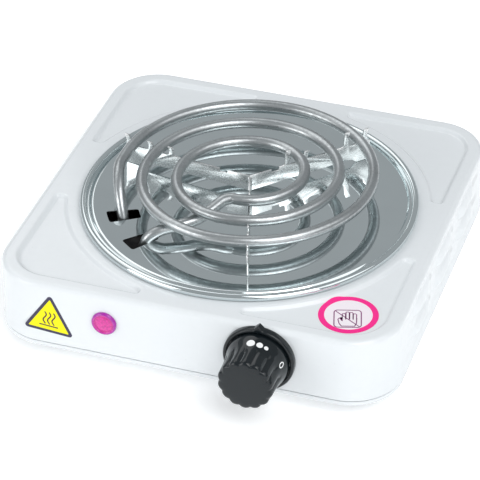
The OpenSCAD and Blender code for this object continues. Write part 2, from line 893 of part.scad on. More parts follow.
// Height of the wires' ends under the flat tags of the terminal pins
tag_z = top_z + seal_top - 14.4;
lead_a = [pan_x + lead_down[0].x, pan_y + lead_down[0].y, tag_z];
lead_b = [pan_x + lead_down[1].x, pan_y + lead_down[1].y, tag_z];
fuse_l = [pan_x + fuse_at.x - 13 - fit, pan_y + fuse_at.y, top_z + fuse_z];
fuse_r = [pan_x + fuse_at.x + 13 + fit, pan_y + fuse_at.y, top_z + fuse_z];
tail_x = stack_x - 16;
blade_y1 = front_y + blade_at[0] + blade_t[0] / 2;
blade_y2 = front_y + blade_at[1] + blade_t[1] / 2;

live_in = [[block_x - block_pitch, block_y - 8, entry_z], [block_x - block_pitch, block_y - 18, 18],
           [-38, 66, 24], [-36, 52, 31], fuse_l + [-6, 0, 0], fuse_l];
live_out = [fuse_r, fuse_r + [6, 0, 0], [30, 30, 26], [36, 0, 15], [34, -40, 14],
            [20, -78, 20], [tail_x - 8, -90, 25], [tail_x - 5, blade_y2, stack_z],
            [tail_x, blade_y2, stack_z]];
neutral = [[block_x, block_y - 8, entry_z], [-22, 60, 14], [-30, 20, 13], [-40, -20, 13],
           [-44, -50, 14], lead_b + [0, 0, -4], lead_b];
switched = [[tail_x, blade_y1, stack_z], [tail_x - 6, blade_y1, stack_z - 1],
            [0, -94, 18], [-34, -84, 13], [-56, -56, 14], lead_a + [0, 0, -4], lead_a];
earth = [[block_x + block_pitch, block_y - 8, entry_z], [block_x + 14, block_y - 16, 14],
         [14, 76, 13], [24, half_y - 24, 14], [30, half_y - 26, 13.4]];
lamp_end = front_y + 19 + fit;
lamp_a = [[lamp_x - 2, lamp_end, lamp_z], [lamp_x - 2, lamp_end + 2, lamp_z],
          [lamp_x - 4, lamp_end + 8, lamp_z - 4],
          [-60, -70, 18], [-62, -54, 15], lead_a + [-12, 2, 2], lead_a + [-4, 0, 2]];
lamp_b = [[lamp_x + 2, lamp_end, lamp_z], [lamp_x + 2, lamp_end + 2, lamp_z],
          [lamp_x + 3, lamp_end + 8, lamp_z - 4],
          [-42, -78, 18], [-45, -66, 15], lead_b + [-2, -12, 2], lead_b + [0, -1.3, 2]];

module wire_live() {
    color("saddlebrown") casing() {
        tube(route(live_in, 3), wire_r);
        tube(route(live_out, 3), wire_r);
    }
}

module wire_neutral() {
    color("royalblue") casing() tube(route(neutral, 3), wire_r);
}

module wire_switched() {
    color("saddlebrown") casing() tube(route(switched, 3), wire_r);
}

module wire_earth() {
    color("yellowgreen") casing() tube(route(earth, 3), wire_r);
}

module lamp_wires() {
    color("dimgray") casing() {
        tube(route(lamp_a, 3), 0.8);
        tube(route(lamp_b, 3), 0.8);
    }
}

label_t = 0.2;
heat_side = 30;
heat_turn = 4.5;
heat_x = -78;
heat_z = top_z - 22.5;

// Three-sided hot surface label on the front wall.
module heat_label() {
    color("gold")
        front_frame(heat_x, heat_z) mirror([0, 0, 1])
            linear_extrude(label_t)
                rotate(heat_turn - 90) circle(heat_side / sqrt(3) - 0.6, $fn = 3);
}

// Round do-not-touch label in the front right panel.
module touch_label() {
    color("hotpink")
        casing() translate([86, -85.6, top_z - panel_deep]) cylinder(r = 17, h = label_t);
}

top_shell();
base_plate();
rubber_feet();
base_screws();
corner_brackets();
drip_pan();
pan_stud();
bridge_bar();
heat_shield();
pan_nut();
lead_bracket();
heater_coil();
end_seals();
terminal_pins();
support_vee();
support_front_arm();
knob();
knob_clip();
knob_bezel();
thermostat_spindle();
thermostat_bush();
thermostat_frame();
thermostat_screws();
push_pin();
ceramic_stack();
spring_blade();
contact_arm();
silver_contacts();
bimetal_strip();
stack_rivet();
indicator_lens();
indicator_lamp();
lens_clip();
cord_gland();
gland_nut();
cord_anchor();
cord_saddle();
saddle_screws();
terminal_block();
terminal_screws();
earth_screw();
earth_nut();
thermal_fuse();
fuse_clip();
wire_live();
wire_neutral();
wire_switched();
wire_earth();
lamp_wires();
heat_label();
touch_label();
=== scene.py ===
"""Single hot plate burner: the visible pieces and finishes, made round the part's own frame."""

import math

import bmesh
import bpy
import numpy as np
from bpy.props import FloatProperty, FloatVectorProperty, IntProperty, PointerProperty
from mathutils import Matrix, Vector


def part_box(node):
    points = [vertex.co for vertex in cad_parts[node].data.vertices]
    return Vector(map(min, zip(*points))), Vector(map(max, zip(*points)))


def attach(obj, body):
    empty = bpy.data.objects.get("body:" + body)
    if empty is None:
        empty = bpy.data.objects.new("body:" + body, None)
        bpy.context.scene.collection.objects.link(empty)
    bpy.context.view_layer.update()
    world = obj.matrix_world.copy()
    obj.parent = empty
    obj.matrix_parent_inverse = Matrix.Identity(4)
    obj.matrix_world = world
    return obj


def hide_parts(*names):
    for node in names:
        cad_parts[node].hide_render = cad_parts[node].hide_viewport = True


bl_info = {
    "name": "Hot Plate Burner",
    "version": (1, 0),
    "blender": (4, 5, 0),
    "location": "3D View > Sidebar > Hot Plate",
    "description": "Enamelled casing, polished pan, spiral element, knob, lamp and labels",
    "category": "Add Mesh",
}

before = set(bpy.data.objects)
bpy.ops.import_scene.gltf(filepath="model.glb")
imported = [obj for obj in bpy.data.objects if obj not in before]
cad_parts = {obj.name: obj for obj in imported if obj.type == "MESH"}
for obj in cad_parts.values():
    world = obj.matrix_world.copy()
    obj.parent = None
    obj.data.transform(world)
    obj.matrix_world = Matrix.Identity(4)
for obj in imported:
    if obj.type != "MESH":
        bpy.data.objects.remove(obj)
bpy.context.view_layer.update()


def mm(value):
    """Millimetres as metres."""
    return value * 0.001


def in_mm(pairs):
    """Pairs of millimetres as pairs of metres."""
    return [(mm(a), mm(b)) for a, b in pairs]


def middle(node):
    """Middle of a frame node's box."""
    low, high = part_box(node)
    return (low + high) / 2


# ---------------------------------------------------------------- places, from the frame

SHEET = mm(0.8)
TRAY_GAP = mm(0.5)
TRAY_LOW, TRAY_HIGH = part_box("base_plate")
SHELL_LOW, SHELL_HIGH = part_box("top_shell")
PLATE_Z = SHELL_HIGH.z
HALF_X = (TRAY_HIGH.x - TRAY_LOW.x) / 2 + SHEET + TRAY_GAP
HALF_Y = (TRAY_HIGH.y - TRAY_LOW.y) / 2 + SHEET + TRAY_GAP
CASING = Vector((0, (TRAY_HIGH.y + TRAY_LOW.y) / 2, 0))
WALL_Y = CASING.y - HALF_Y
PAN = Vector((middle("drip_pan").x, middle("drip_pan").y, PLATE_Z))
PLATE_HOLE_R = mm(88)
PAN_R = (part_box("drip_pan")[1].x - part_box("drip_pan")[0].x) / 2
KNOB = Vector((middle("knob").x, WALL_Y, middle("knob").z))
LAMP = Vector((middle("indicator_lens").x, WALL_Y, middle("indicator_lens").z))
HEAT_LABEL = middle("heat_label")
TOUCH_LABEL = middle("touch_label")
FOOT_X, FOOT_Y = mm(90), mm(88.5)
FOOT_SCREW_HOLE_R = mm(2.2)
FEET = [Vector((sx * FOOT_X, CASING.y + sy * FOOT_Y, 0)) for sx in (-1, 1) for sy in (-1, 1)]


# ---------------------------------------------------------------- settings

def length(name, description, default):
    """A length setting, in metres."""
    return FloatProperty(name=name, description=description, default=default, unit="LENGTH")


def degrees(name, description, default):
    """An angle setting, given in degrees."""
    return FloatProperty(name=name, description=description, default=math.radians(default),
                         subtype="ANGLE")


def colour(name, description, default):
    """A colour setting, in linear red, green and blue."""
    return FloatVectorProperty(name=name, description=description, default=(*default, 1.0),
                               subtype="COLOR", size=4, min=0.0, max=1.0)


class CasingSettings(bpy.types.PropertyGroup):
    """Pressed and enamelled top shell and base tray."""
    corner_radius: length("Corner radius", "Corner radius seen from above", mm(29))
    edge_radius: length("Edge radius", "Radius between the plate and the walls", mm(3))
    flare: length("Flare", "How far the walls' lower edge stands out", mm(0.8))
    panel_depth: length("Panel depth", "Depth of the pressed corner panels", mm(2))
    panel_slope: length("Panel slope", "Width of the slope round a panel", mm(2.9))
    panel_edge: length("Panel edge", "Flat left outside a panel", mm(7.7))
    panel_arc: length("Panel arc", "Radius that the panels keep clear of the pan", mm(102.8))
    louvre_out: length("Louvre height", "How far a louvre stands out", mm(2.5))
    enamel: colour("Enamel", "Colour of the enamel", (0.80, 0.83, 0.85))


class PanSettings(bpy.types.PropertyGroup):
    """Polished drip pan."""
    bead_radius: length("Bead radius", "Radius of the rolled rim", mm(2.1))
    dish_middle: length("Dish middle", "Height of the dish over the plate, middle", mm(1))
    dish_edge: length("Dish edge", "Height of the dish over the plate, edge", mm(2.5))
    steel: colour("Steel", "Colour of the polished steel", (0.72, 0.78, 0.79))


class ElementSettings(bpy.types.PropertyGroup):
    """Spiral tube element."""
    tube_radius: length("Tube radius", "Radius of the heating tube", mm(3.25))
    outer_radius: length("Outer turn", "Radius of the outermost half turn", mm(69.2))
    step: length("Step", "Distance from one half turn to the next", mm(9.8))
    sides: IntProperty(name="Sides", description="Sides of the tube", default=28, min=8)
    steel: colour("Steel", "Colour of the annealed tube", (0.60, 0.63, 0.64))


class RestSettings(bpy.types.PropertyGroup):
    """Three-armed rest under the element."""
    strip: length("Strip", "Thickness of the strip", mm(1))
    low: length("Lower edge", "Height of the lower edge over the plate", mm(5))
    reach: length("Reach", "Length of an arm from the hub", mm(79))
    steel: colour("Steel", "Colour of the bright strip", (0.86, 0.87, 0.87))


class KnobSettings(bpy.types.PropertyGroup):
    """Control knob and its bezel."""
    skirt: length("Skirt radius", "Radius of the knob's skirt", mm(17.6))
    grip: length("Grip radius", "Radius of the knob's grip", mm(15.8))
    out: length("Length", "How far the knob stands out from the wall", mm(28))
    bezel: length("Bezel radius", "Radius of the fixed bezel", mm(20.1))
    flutes: IntProperty(name="Flutes", description="Finger flutes round the grip", default=14)
    black: colour("Black", "Colour of the knob", (0.006, 0.009, 0.011))


class LampSettings(bpy.types.PropertyGroup):
    """Indicator lamp lens."""
    radius: length("Lens radius", "Radius of the lens", mm(7.2))
    lens: colour("Lens", "Colour of the lens", (0.86, 0.03, 0.40))
    # Rim: a darker purple painted on the lens's rounded rim as painted shade.
    rim: colour("Rim", "Colour of the lens rim", (0.38, 0.01, 0.36))


class LabelSettings(bpy.types.PropertyGroup):
    """Hot surface and do-not-touch pictograms."""
    triangle_turn: degrees("Triangle turn", "How far the triangle is stuck on askew", -4.5)
    round_turn: degrees("Round turn", "How far the round label is turned", 16)
    triangle_side: length("Triangle", "Side of the hot surface triangle", mm(30))
    round_shift: length("Round shift", "How far the round label sits left of its place", mm(1.4))
    round_radius: length("Round", "Radius of the do-not-touch label", mm(16.4))
    yellow: colour("Yellow", "Field of the triangle", (0.96, 0.89, 0.02))
    violet: colour("Violet", "Border and marks", (0.075, 0.03, 0.075))
    pink: colour("Pink", "Ring of the round label", (0.98, 0.035, 0.29))


class StageSettings(bpy.types.PropertyGroup):
    """Camera, floor and lights."""
    azimuth: degrees("Azimuth", "Camera angle round the object", 18.43)
    elevation: degrees("Elevation", "Camera angle over the horizon", 35.42)
    roll: degrees("Roll", "Turn about the line of sight", 0.317)
    distance: length("Distance", "From the aim point to the camera", 1.5309)
    aim_left: length("Aim left", "Aim point, to the left of the plate's middle", mm(4.95))
    aim_down: length("Aim down", "Aim point, below the plate's middle", mm(23.77))
    lens: FloatProperty(name="Lens", description="Focal length in millimetres", default=201.15)
    floor: colour("Floor", "Colour of the floor", (0.95, 0.955, 0.96))


class HotPlateSettings(bpy.types.PropertyGroup):
    """All sizes and colours of the hot plate."""
    casing: PointerProperty(type=CasingSettings)
    pan: PointerProperty(type=PanSettings)
    element: PointerProperty(type=ElementSettings)
    rest: PointerProperty(type=RestSettings)
    knob: PointerProperty(type=KnobSettings)
    lamp: PointerProperty(type=LampSettings)
    labels: PointerProperty(type=LabelSettings)
    stage: PointerProperty(type=StageSettings)


# ---------------------------------------------------------------- shader node groups

def add_node(tree, kind, inputs=None, **values):
    """A new node with its properties and unlinked inputs set."""
    node = tree.nodes.new(kind)
    for name, value in values.items():
        setattr(node, name, value)
    for name, value in (inputs or {}).items():
        node.inputs[name].default_value = value
    return node


def connect(tree, *links):
    """Links sockets. Each link is (node, output, node, input)."""
    for source, leaving, target, entering in links:
        tree.links.new(source.outputs[leaving], target.inputs[entering])


def shader_group(name, inputs, outputs):
    """An empty shader group with its sockets. Each socket is (name, kind, default)."""
    tree = bpy.data.node_groups.new(name, "ShaderNodeTree")
    for socket, kind, default in inputs:
        made = tree.interface.new_socket(socket, in_out="INPUT", socket_type=kind)
        made.default_value = default
    for socket, kind in outputs:
        tree.interface.new_socket(socket, in_out="OUTPUT", socket_type=kind)
    return tree, tree.nodes.new("NodeGroupInput"), tree.nodes.new("NodeGroupOutput")


FLOAT, COLOUR, VECTOR = "NodeSocketFloat", "NodeSocketColor", "NodeSocketVector"


def grain_group():
    """Uneven colour, roughness and fine relief from noise, stretched as wanted."""
    name = "Surface Grain"
    if name in bpy.data.node_groups:
        return bpy.data.node_groups[name]
    tree, given, out = shader_group(
        name,
        [("Base", COLOUR, (0.5, 0.5, 0.5, 1)), ("Second", COLOUR, (0.4, 0.4, 0.4, 1)),
         ("Scale", FLOAT, 200.0), ("Stretch", VECTOR, (1, 1, 1)), ("Smooth", FLOAT, 0.3),
         ("Rough", FLOAT, 0.5), ("Relief", FLOAT, 0.1), ("Relief Height", FLOAT, 0.0001)],
        [("Color", COLOUR), ("Roughness", FLOAT), ("Normal", VECTOR)])
    place = add_node(tree, "ShaderNodeTexCoord")
    stretch = add_node(tree, "ShaderNodeMapping")
    fine = add_node(tree, "ShaderNodeTexNoise", {"Detail": 4.0, "Roughness": 0.6})
    broad = add_node(tree, "ShaderNodeTexNoise", {"Scale": 28.0, "Detail": 2.0})
    tint = add_node(tree, "ShaderNodeMix", data_type="RGBA")
    both = add_node(tree, "ShaderNodeMath", operation="MULTIPLY")
    rough = add_node(tree, "ShaderNodeMapRange", {"From Min": 0.3, "From Max": 0.7})
    bump = add_node(tree, "ShaderNodeBump")
    connect(tree, (place, "Object", stretch, "Vector"), (given, "Stretch", stretch, "Scale"),
                  (stretch, "Vector", fine, "Vector"), (given, "Scale", fine, "Scale"),
                  (place, "Object", broad, "Vector"), (fine, "Fac", both, 0),
                  (broad, "Fac", both, 1))
    doubled = add_node(tree, "ShaderNodeMath", operation="MULTIPLY")
    doubled.inputs[1].default_value = 2.4
    doubled.use_clamp = True
    connect(tree, (both, 0, doubled, 0), (doubled, 0, tint, "Factor"), (given, "Base", tint, 6),
                  (given, "Second", tint, 7), (fine, "Fac", rough, "Value"),
                  (given, "Smooth", rough, "To Min"), (given, "Rough", rough, "To Max"),
                  (fine, "Fac", bump, "Height"), (given, "Relief", bump, "Strength"),
                  (given, "Relief Height", bump, "Distance"), (tint, 2, out, "Color"),
                  (rough, "Result", out, "Roughness"), (bump, "Normal", out, "Normal"))
    return tree


def fleck_group():
    """Sparse small flecks, such as dust on enamel or pits in a casting."""
    name = "Fine Flecks"
    if name in bpy.data.node_groups:
        return bpy.data.node_groups[name]
    tree, given, out = shader_group(
        name,
        [("Color", COLOUR, (0.8, 0.8, 0.8, 1)), ("Fleck", COLOUR, (0.6, 0.6, 0.6, 1)),
         ("Scale", FLOAT, 120.0), ("Size", FLOAT, 0.08), ("Amount", FLOAT, 0.3)],
        [("Color", COLOUR)])
    place = add_node(tree, "ShaderNodeTexCoord")
    cells = add_node(tree, "ShaderNodeTexVoronoi")
    spot = add_node(tree, "ShaderNodeMath", operation="LESS_THAN")
    amount = add_node(tree, "ShaderNodeMath", operation="MULTIPLY")
    mix = add_node(tree, "ShaderNodeMix", data_type="RGBA")
    connect(tree, (place, "Object", cells, "Vector"), (given, "Scale", cells, "Scale"),
                  (cells, "Distance", spot, 0), (given, "Size", spot, 1), (spot, 0, amount, 0),
                  (given, "Amount", amount, 1), (amount, 0, mix, "Factor"),
                  (given, "Color", mix, 6), (given, "Fleck", mix, 7), (mix, 2, out, "Color"))
    return tree


def shade(rgb, factor):
    """A colour made darker or lighter, with its alpha."""
    return tuple(min(1.0, c * factor) for c in tuple(rgb)[:3]) + (1.0,)


def finish(name, base, second=None, scale=300.0, stretch=(1, 1, 1), smooth=0.3, rough=0.45,
           relief=0.15, height=mm(0.05), flecks=None, **sockets):
    """A material with uneven colour, roughness and relief. Sockets go on the shader itself."""
    name = "finish_" + name
    if name in bpy.data.materials:
        return bpy.data.materials[name]
    material = bpy.data.materials.new(name)
    material.use_nodes = True
    tree = material.node_tree
    skin = tree.nodes["Principled BSDF"]
    base = shade(base, 1.0)
    second = shade(second, 1.0) if second else shade(base, 0.86)
    grain = add_node(tree, "ShaderNodeGroup", node_tree=grain_group())
    for socket, value in (("Base", base), ("Second", second),
                          ("Scale", scale), ("Stretch", stretch), ("Smooth", smooth),
                          ("Rough", rough), ("Relief", relief), ("Relief Height", height)):
        grain.inputs[socket].default_value = value
    shown = grain.outputs["Color"]
    if flecks:
        fleck = add_node(tree, "ShaderNodeGroup", node_tree=fleck_group())
        for socket, value in flecks.items():
            fleck.inputs[socket].default_value = value
        tree.links.new(shown, fleck.inputs["Color"])
        shown = fleck.outputs["Color"]
    tree.links.new(shown, skin.inputs["Base Color"])
    tree.links.new(grain.outputs["Roughness"], skin.inputs["Roughness"])
    tree.links.new(grain.outputs["Normal"], skin.inputs["Normal"])
    for socket, value in sockets.items():
        skin.inputs[socket.replace("_", " ")].default_value = value
    return material


def white_enamel(settings):
    return finish("white_enamel", settings.casing.enamel, shade(settings.casing.enamel, 0.97),
                  scale=260, smooth=0.16, rough=0.24, relief=0.25, height=mm(0.03),
                  flecks={"Fleck": (0.62, 0.64, 0.65, 1), "Scale": 90.0, "Size": 0.05,
                          "Amount": 0.18},
                  Specular_IOR_Level=0.5, Coat_Weight=0.25, Coat_Roughness=0.08)


def polished_steel(settings):
    return finish("polished_steel", settings.pan.steel, shade(settings.pan.steel, 0.95),
                  scale=60, smooth=0.0, rough=0.035, relief=0.02, height=mm(0.01),
                  Metallic=1.0)


def annealed_steel(settings):
    return finish("annealed_steel", settings.element.steel, shade(settings.element.steel, 0.62),
                  scale=420, smooth=0.26, rough=0.38, relief=0.08, height=mm(0.02),
                  flecks={"Fleck": (0.40, 0.41, 0.41, 1), "Scale": 900.0, "Size": 0.12,
                          "Amount": 0.25},
                  Metallic=1.0)


def strip_steel(settings):
    return finish("strip_steel", settings.rest.steel, shade(settings.rest.steel, 0.85),
                  scale=500, stretch=(1, 1, 3), smooth=0.2, rough=0.36, relief=0.04,
                  height=mm(0.01),
                  flecks={"Fleck": (0.45, 0.46, 0.46, 1), "Scale": 700.0, "Size": 0.09,
                          "Amount": 0.25},
                  Metallic=1.0)


def heat_stained_steel():
    return finish("heat_stained_steel", (0.10, 0.095, 0.09), (0.05, 0.05, 0.055), scale=120,
                  smooth=0.4, rough=0.6, relief=0.2, Metallic=1.0)


def zinc_steel():
    return finish("zinc_steel", (0.60, 0.61, 0.62), (0.44, 0.45, 0.47), scale=180, smooth=0.3,
                  rough=0.5, relief=0.2, Metallic=1.0)


def brass():
    return finish("brass", (0.78, 0.58, 0.26), (0.60, 0.42, 0.17), scale=220, smooth=0.22,
                  rough=0.4, Metallic=1.0)


def bronze():
    return finish("blade_bronze", (0.72, 0.46, 0.27), (0.55, 0.33, 0.18), scale=400,
                  stretch=(0.2, 1, 1), smooth=0.2, rough=0.38, Metallic=1.0)


def ceramic():
    return finish("steatite", (0.82, 0.79, 0.72), (0.74, 0.71, 0.63), scale=500, smooth=0.45,
                  rough=0.62, relief=0.3,
                  flecks={"Fleck": (0.5, 0.46, 0.4, 1), "Scale": 600.0, "Size": 0.12,
                          "Amount": 0.4})


def moulded_black(settings, name="knob_black", smooth=0.07, rough=0.14):
    return finish(name, settings.knob.black, shade(settings.knob.black, 1.5), scale=700,
                  smooth=smooth, rough=rough, relief=0.05, height=mm(0.02),
                  Specular_IOR_Level=0.4)


def rubber():
    return finish("foot_rubber", (0.035, 0.035, 0.036), (0.06, 0.06, 0.06), scale=650,
                  smooth=0.6, rough=0.8, relief=0.5, height=mm(0.08))


def insulation(name, rgb):
    return finish(name, rgb, shade(rgb, 0.8), scale=350, smooth=0.35, rough=0.5, relief=0.1)


def vinyl(name, rgb):
    return finish(name, rgb, shade(rgb, 0.94), scale=900, smooth=0.5, rough=0.65,
                  relief=0.05, height=mm(0.02), Specular_IOR_Level=0.12)


# ---------------------------------------------------------------- mesh helpers

def piece(name, points, faces, materials, indices=None, sharp=40):
    """A mesh object at the origin, with its place in its points."""
    mesh = bpy.data.meshes.new(name)
    mesh.from_pydata([tuple(p) for p in points], [], faces)
    for material in materials if isinstance(materials, (list, tuple)) else [materials]:
        mesh.materials.append(material)
    if indices:
        mesh.polygons.foreach_set("material_index", indices)
    mesh.validate()
    mesh.update()
    mesh.shade_smooth()
    mesh.set_sharp_from_angle(angle=math.radians(sharp))
    obj = bpy.data.objects.new(name, mesh)
    bpy.context.scene.collection.objects.link(obj)
    return obj


def add_modifier(obj, kind, **values):
    modifier = obj.modifiers.new(kind.title(), kind)
    for name, value in values.items():
        setattr(modifier, name, value)
    return modifier


def settle(obj, sharp=40):
    """Turns an object with modifiers into a plain mesh."""
    graph = bpy.context.evaluated_depsgraph_get()
    graph.update()
    plain = bpy.data.meshes.new_from_object(obj.evaluated_get(graph), depsgraph=graph)
    plain.name = obj.name
    plain.shade_smooth()
    plain.set_sharp_from_angle(angle=math.radians(sharp))
    obj.modifiers.clear()
    obj.data = plain
    return obj


def sheet(bm, name, material, thickness, sharp):
    """A closed sheet-metal piece, thickened inwards from its open outer skin."""
    mesh = bpy.data.meshes.new(name)
    bm.to_mesh(mesh)
    bm.free()
    mesh.materials.append(material)
    obj = bpy.data.objects.new(name, mesh)
    bpy.context.scene.collection.objects.link(obj)
    add_modifier(obj, "SOLIDIFY", thickness=thickness, offset=-1.0)
    return settle(obj, sharp)


def place(obj, body, slot, *nodes):
    """The piece rides on a body and stands for its frame nodes, which are hidden. slot is not
    used.
    """
    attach(obj, body)
    if nodes:
        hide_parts(*nodes)
    return obj


def face_outwards(bm, face_at, outwards):
    """One way round for all faces of an open skin, from one face whose outside is known."""
    bmesh.ops.recalc_face_normals(bm, faces=bm.faces)
    bm.faces.ensure_lookup_table()
    if bm.faces[face_at].normal.dot(Vector(outwards)) < 0:
        bmesh.ops.reverse_faces(bm, faces=bm.faces)


def rounded_loop(half_x, half_y, radius, stops=(), steps=14):
    """Points round a rounded rectangle, anticlockwise, with more points on its long sides."""
    points = []
    for sx, sy, start in ((1, -1, -90), (1, 1, 0), (-1, 1, 90), (-1, -1, 180)):
        for k in range(steps + 1):
            a = math.radians(start + 90 * k / steps)
            points.append((sx * (half_x - radius) + radius * math.cos(a),
                           sy * (half_y - radius) + radius * math.sin(a)))
        if (sx, sy) == (1, -1):
            points += [(half_x, s) for s in stops]
        if (sx, sy) == (-1, 1):
            points += [(-half_x, s) for s in reversed(stops)]
    return points


def circle(x, y, radius, steps):
    """Points round a circle, anticlockwise."""
    return [(x + radius * math.cos(math.tau * k / steps),
             y + radius * math.sin(math.tau * k / steps)) for k in range(steps)]


def lathe(profile, steps, spot):
    """Points and faces of a turned shape. spot(angle, radius, along) gives a point.
    Profile ends on the axis close as poles."""
    points, rows, faces = [], [], []
    for radius, along in profile:
        if radius <= 0:
            rows.append([len(points)])
            points.append(spot(0.0, 0.0, along))
            continue
        rows.append(list(range(len(points), len(points) + steps)))
        points += [spot(math.tau * k / steps, radius, along) for k in range(steps)]
    for a, b in zip(rows, rows[1:]):
        for k in range(steps):
            n = (k + 1) % steps
            if len(a) == 1:
                faces.append((a[0], b[k], b[n]))
            elif len(b) == 1:
                faces.append((a[k], b[0], a[n]))
            else:
                faces.append((a[k], b[k], b[n], a[n]))
    return points, faces


def outward(points, faces):
    """The faces turned to point out of the closed shape."""
    bm = bmesh.new()
    made = [bm.verts.new(p) for p in points]
    for face in faces:
        bm.faces.new([made[i] for i in face])
    bmesh.ops.recalc_face_normals(bm, faces=bm.faces)
    if bm.calc_volume(signed=True) < 0:
        bmesh.ops.reverse_faces(bm, faces=bm.faces)
    bm.verts.index_update()
    turned = [tuple(v.index for v in f.verts) for f in bm.faces]
    bm.free()
    return turned


def front_spot(origin):
    """Turned shapes on the front wall: angle 0 to the right, 90 up, along outwards."""
    def spot(angle, radius, along):
        return (origin.x + radius * math.cos(angle), origin.y - along,
                origin.z + radius * math.sin(angle))
    return spot


def prism(outline, low, high, to_row):
    """Closed plate with an outline in its own plane. to_row(u, v, w) gives a row point."""
    count = len(outline)
    points = [to_row(u, v, low) for u, v in outline] + [to_row(u, v, high) for u, v in outline]
    faces = [tuple(reversed(range(count))), tuple(range(count, 2 * count))]
    faces += [(k, (k + 1) % count, count + (k + 1) % count, count + k) for k in range(count)]
    return points, outward(points, faces)


def band(outer, inner, low, high, to_row):
    """Closed flat ring between two outlines of equal length."""
    count = len(outer)
    points = []
    for loop, w in ((outer, low), (outer, high), (inner, high), (inner, low)):
        points += [to_row(u, v, w) for u, v in loop]
    faces = []
    for part in range(4):
        a, b = part * count, (part + 1) % 4 * count
        faces += [(a + k, a + (k + 1) % count, b + (k + 1) % count, b + k)
                  for k in range(count)]
    return points, outward(points, faces)


def stroke(path, width, round_steps=6):
    """Outline of a line of even width with round ends."""
    half = width / 2
    left, right = [], []
    for i, (x, y) in enumerate(path):
        ax, ay = path[max(i - 1, 0)]
        bx, by = path[min(i + 1, len(path) - 1)]
        size = math.hypot(bx - ax, by - ay)
        nx, ny = -(by - ay) / size, (bx - ax) / size
        left.append((x + half * nx, y + half * ny))
        right.append((x - half * nx, y - half * ny))

    def cap(centre, start):
        return [(centre[0] + half * math.cos(start - math.pi * k / round_steps),
                 centre[1] + half * math.sin(start - math.pi * k / round_steps))
                for k in range(1, round_steps)]

    def heading(a, b):
        return math.atan2(b[1] - a[1], b[0] - a[0])

    end = cap(path[-1], heading(path[-2], path[-1]) + math.pi / 2)
    begin = cap(path[0], heading(path[1], path[0]) + math.pi / 2)
    return left + end + right[::-1] + begin


def joined(parts):
    """Points, faces and material indices of several closed parts (points, faces, index).
    The index is one number, or one for each face."""
    points, faces, indices = [], [], []
    for part_points, part_faces, index in parts:
        base = len(points)
        points += part_points
        faces += [tuple(base + i for i in face) for face in part_faces]
        indices += index if isinstance(index, list) else [index] * len(part_faces)
    return points, faces, indices


# ---------------------------------------------------------------- casing

def panel_outside(casing, px, py):
    """Distance outside the corner panel's outline, below zero inside it."""
    x, y = HALF_X - casing.panel_edge, HALF_Y - casing.panel_edge
    corner = casing.corner_radius - casing.panel_edge
    tip, tip_radius = mm(28), mm(3)

    def meet(a, b):
        """Rounded overlap of two half planes."""
        round_part = np.hypot(np.maximum(a + tip_radius, 0), np.maximum(b + tip_radius, 0))
        return np.minimum(np.maximum(a, b), -tip_radius) + round_part

    qx, qy = px - (x - corner), py - (y - corner)
    box = np.minimum(np.maximum(qx, qy), 0)
    box = box + np.hypot(np.maximum(qx, 0), np.maximum(qy, 0)) - corner
    arc = casing.panel_arc - np.hypot(px, py)
    return meet(meet(meet(box, arc), tip - px), tip - py)


def panel_drop(casing, level):
    """Depth below the plate at a distance inwards from a panel's outline."""
    t = min(max(level / casing.panel_slope, 0), 1)
    return casing.panel_depth * (1 - math.cos(math.pi * t)) / 2


def panel_loops(casing, levels, steps=420):
    """Outlines of a corner panel at several distances inwards, seen from its own middle."""
    cx = 0.82 * (HALF_X - casing.panel_edge)
    cy = 0.83 * (HALF_Y - casing.panel_edge)
    angle = np.linspace(0, math.tau, steps, endpoint=False)
    ux, uy = np.cos(angle), np.sin(angle)
    loops = []
    for level in levels:
        near, far = np.zeros(steps), np.full(steps, 0.09)
        for _ in range(34):
            half = (near + far) / 2
            out = panel_outside(casing, cx + half * ux, cy + half * uy) + level > 0
            far = np.where(out, half, far)
            near = np.where(out, near, half)
        loops.append(list(zip(cx + near * ux, cy + near * uy)))
    return loops


def join_loops(bm, rows):
    """Quads between rows of vertices of equal length."""
    for a, b in zip(rows, rows[1:]):
        for k in range(len(a)):
            n = (k + 1) % len(a)
            corners = [a[k], b[k], b[n], a[n]]
            if len(set(corners)) > 2:
                bm.faces.new(corners)


def loop_edges(row):
    """The edges between neighbours round a closed row of vertices."""
    edges = []
    for k, vert in enumerate(row):
        other = row[(k + 1) % len(row)]
        edge = next(e for e in vert.link_edges if e.other_vert(vert) == other)
        edges.append(edge)
    return edges


def new_loop(bm, points, z):
    """A closed row of new vertices with edges between them."""
    row = [bm.verts.new((x, y, z)) for x, y in points]
    for k, vert in enumerate(row):
        bm.edges.new((vert, row[(k + 1) % len(row)]))
    return row


LOUVRE_LONG = mm(33)
LOUVRE_HIGH = mm(7)
LOUVRE_MIDDLES = [mm(-47), mm(1), mm(49)]
LOUVRE_MOUTHS = [mm(26), mm(12)]
LOUVRE_COLUMNS = 20
LOUVRE_ROWS = 8


def louvre_stops():
    """Places along a side wall where a louvre needs points."""
    return [m + LOUVRE_LONG * (k / LOUVRE_COLUMNS - 0.5)
            for m in LOUVRE_MIDDLES for k in range(LOUVRE_COLUMNS + 1)]


def louvre_bulge(x, y, z, out):
    """How far the hoods lift the wall at a point, in casing coordinates."""
    if abs(x) < HALF_X - mm(0.1):
        return 0.0
    for m in LOUVRE_MIDDLES:
        across = abs(y - m) / (LOUVRE_LONG / 2)
        for mouth in LOUVRE_MOUTHS:
            up = (z - (PLATE_Z - mouth)) / LOUVRE_HIGH
            if across < 1 - 1e-6 and -1e-6 <= up < 1 - 1e-6:
                return out * (1 - across ** 4) * math.cos(math.pi / 2 * max(up, 0)) ** 0.8
    return 0.0


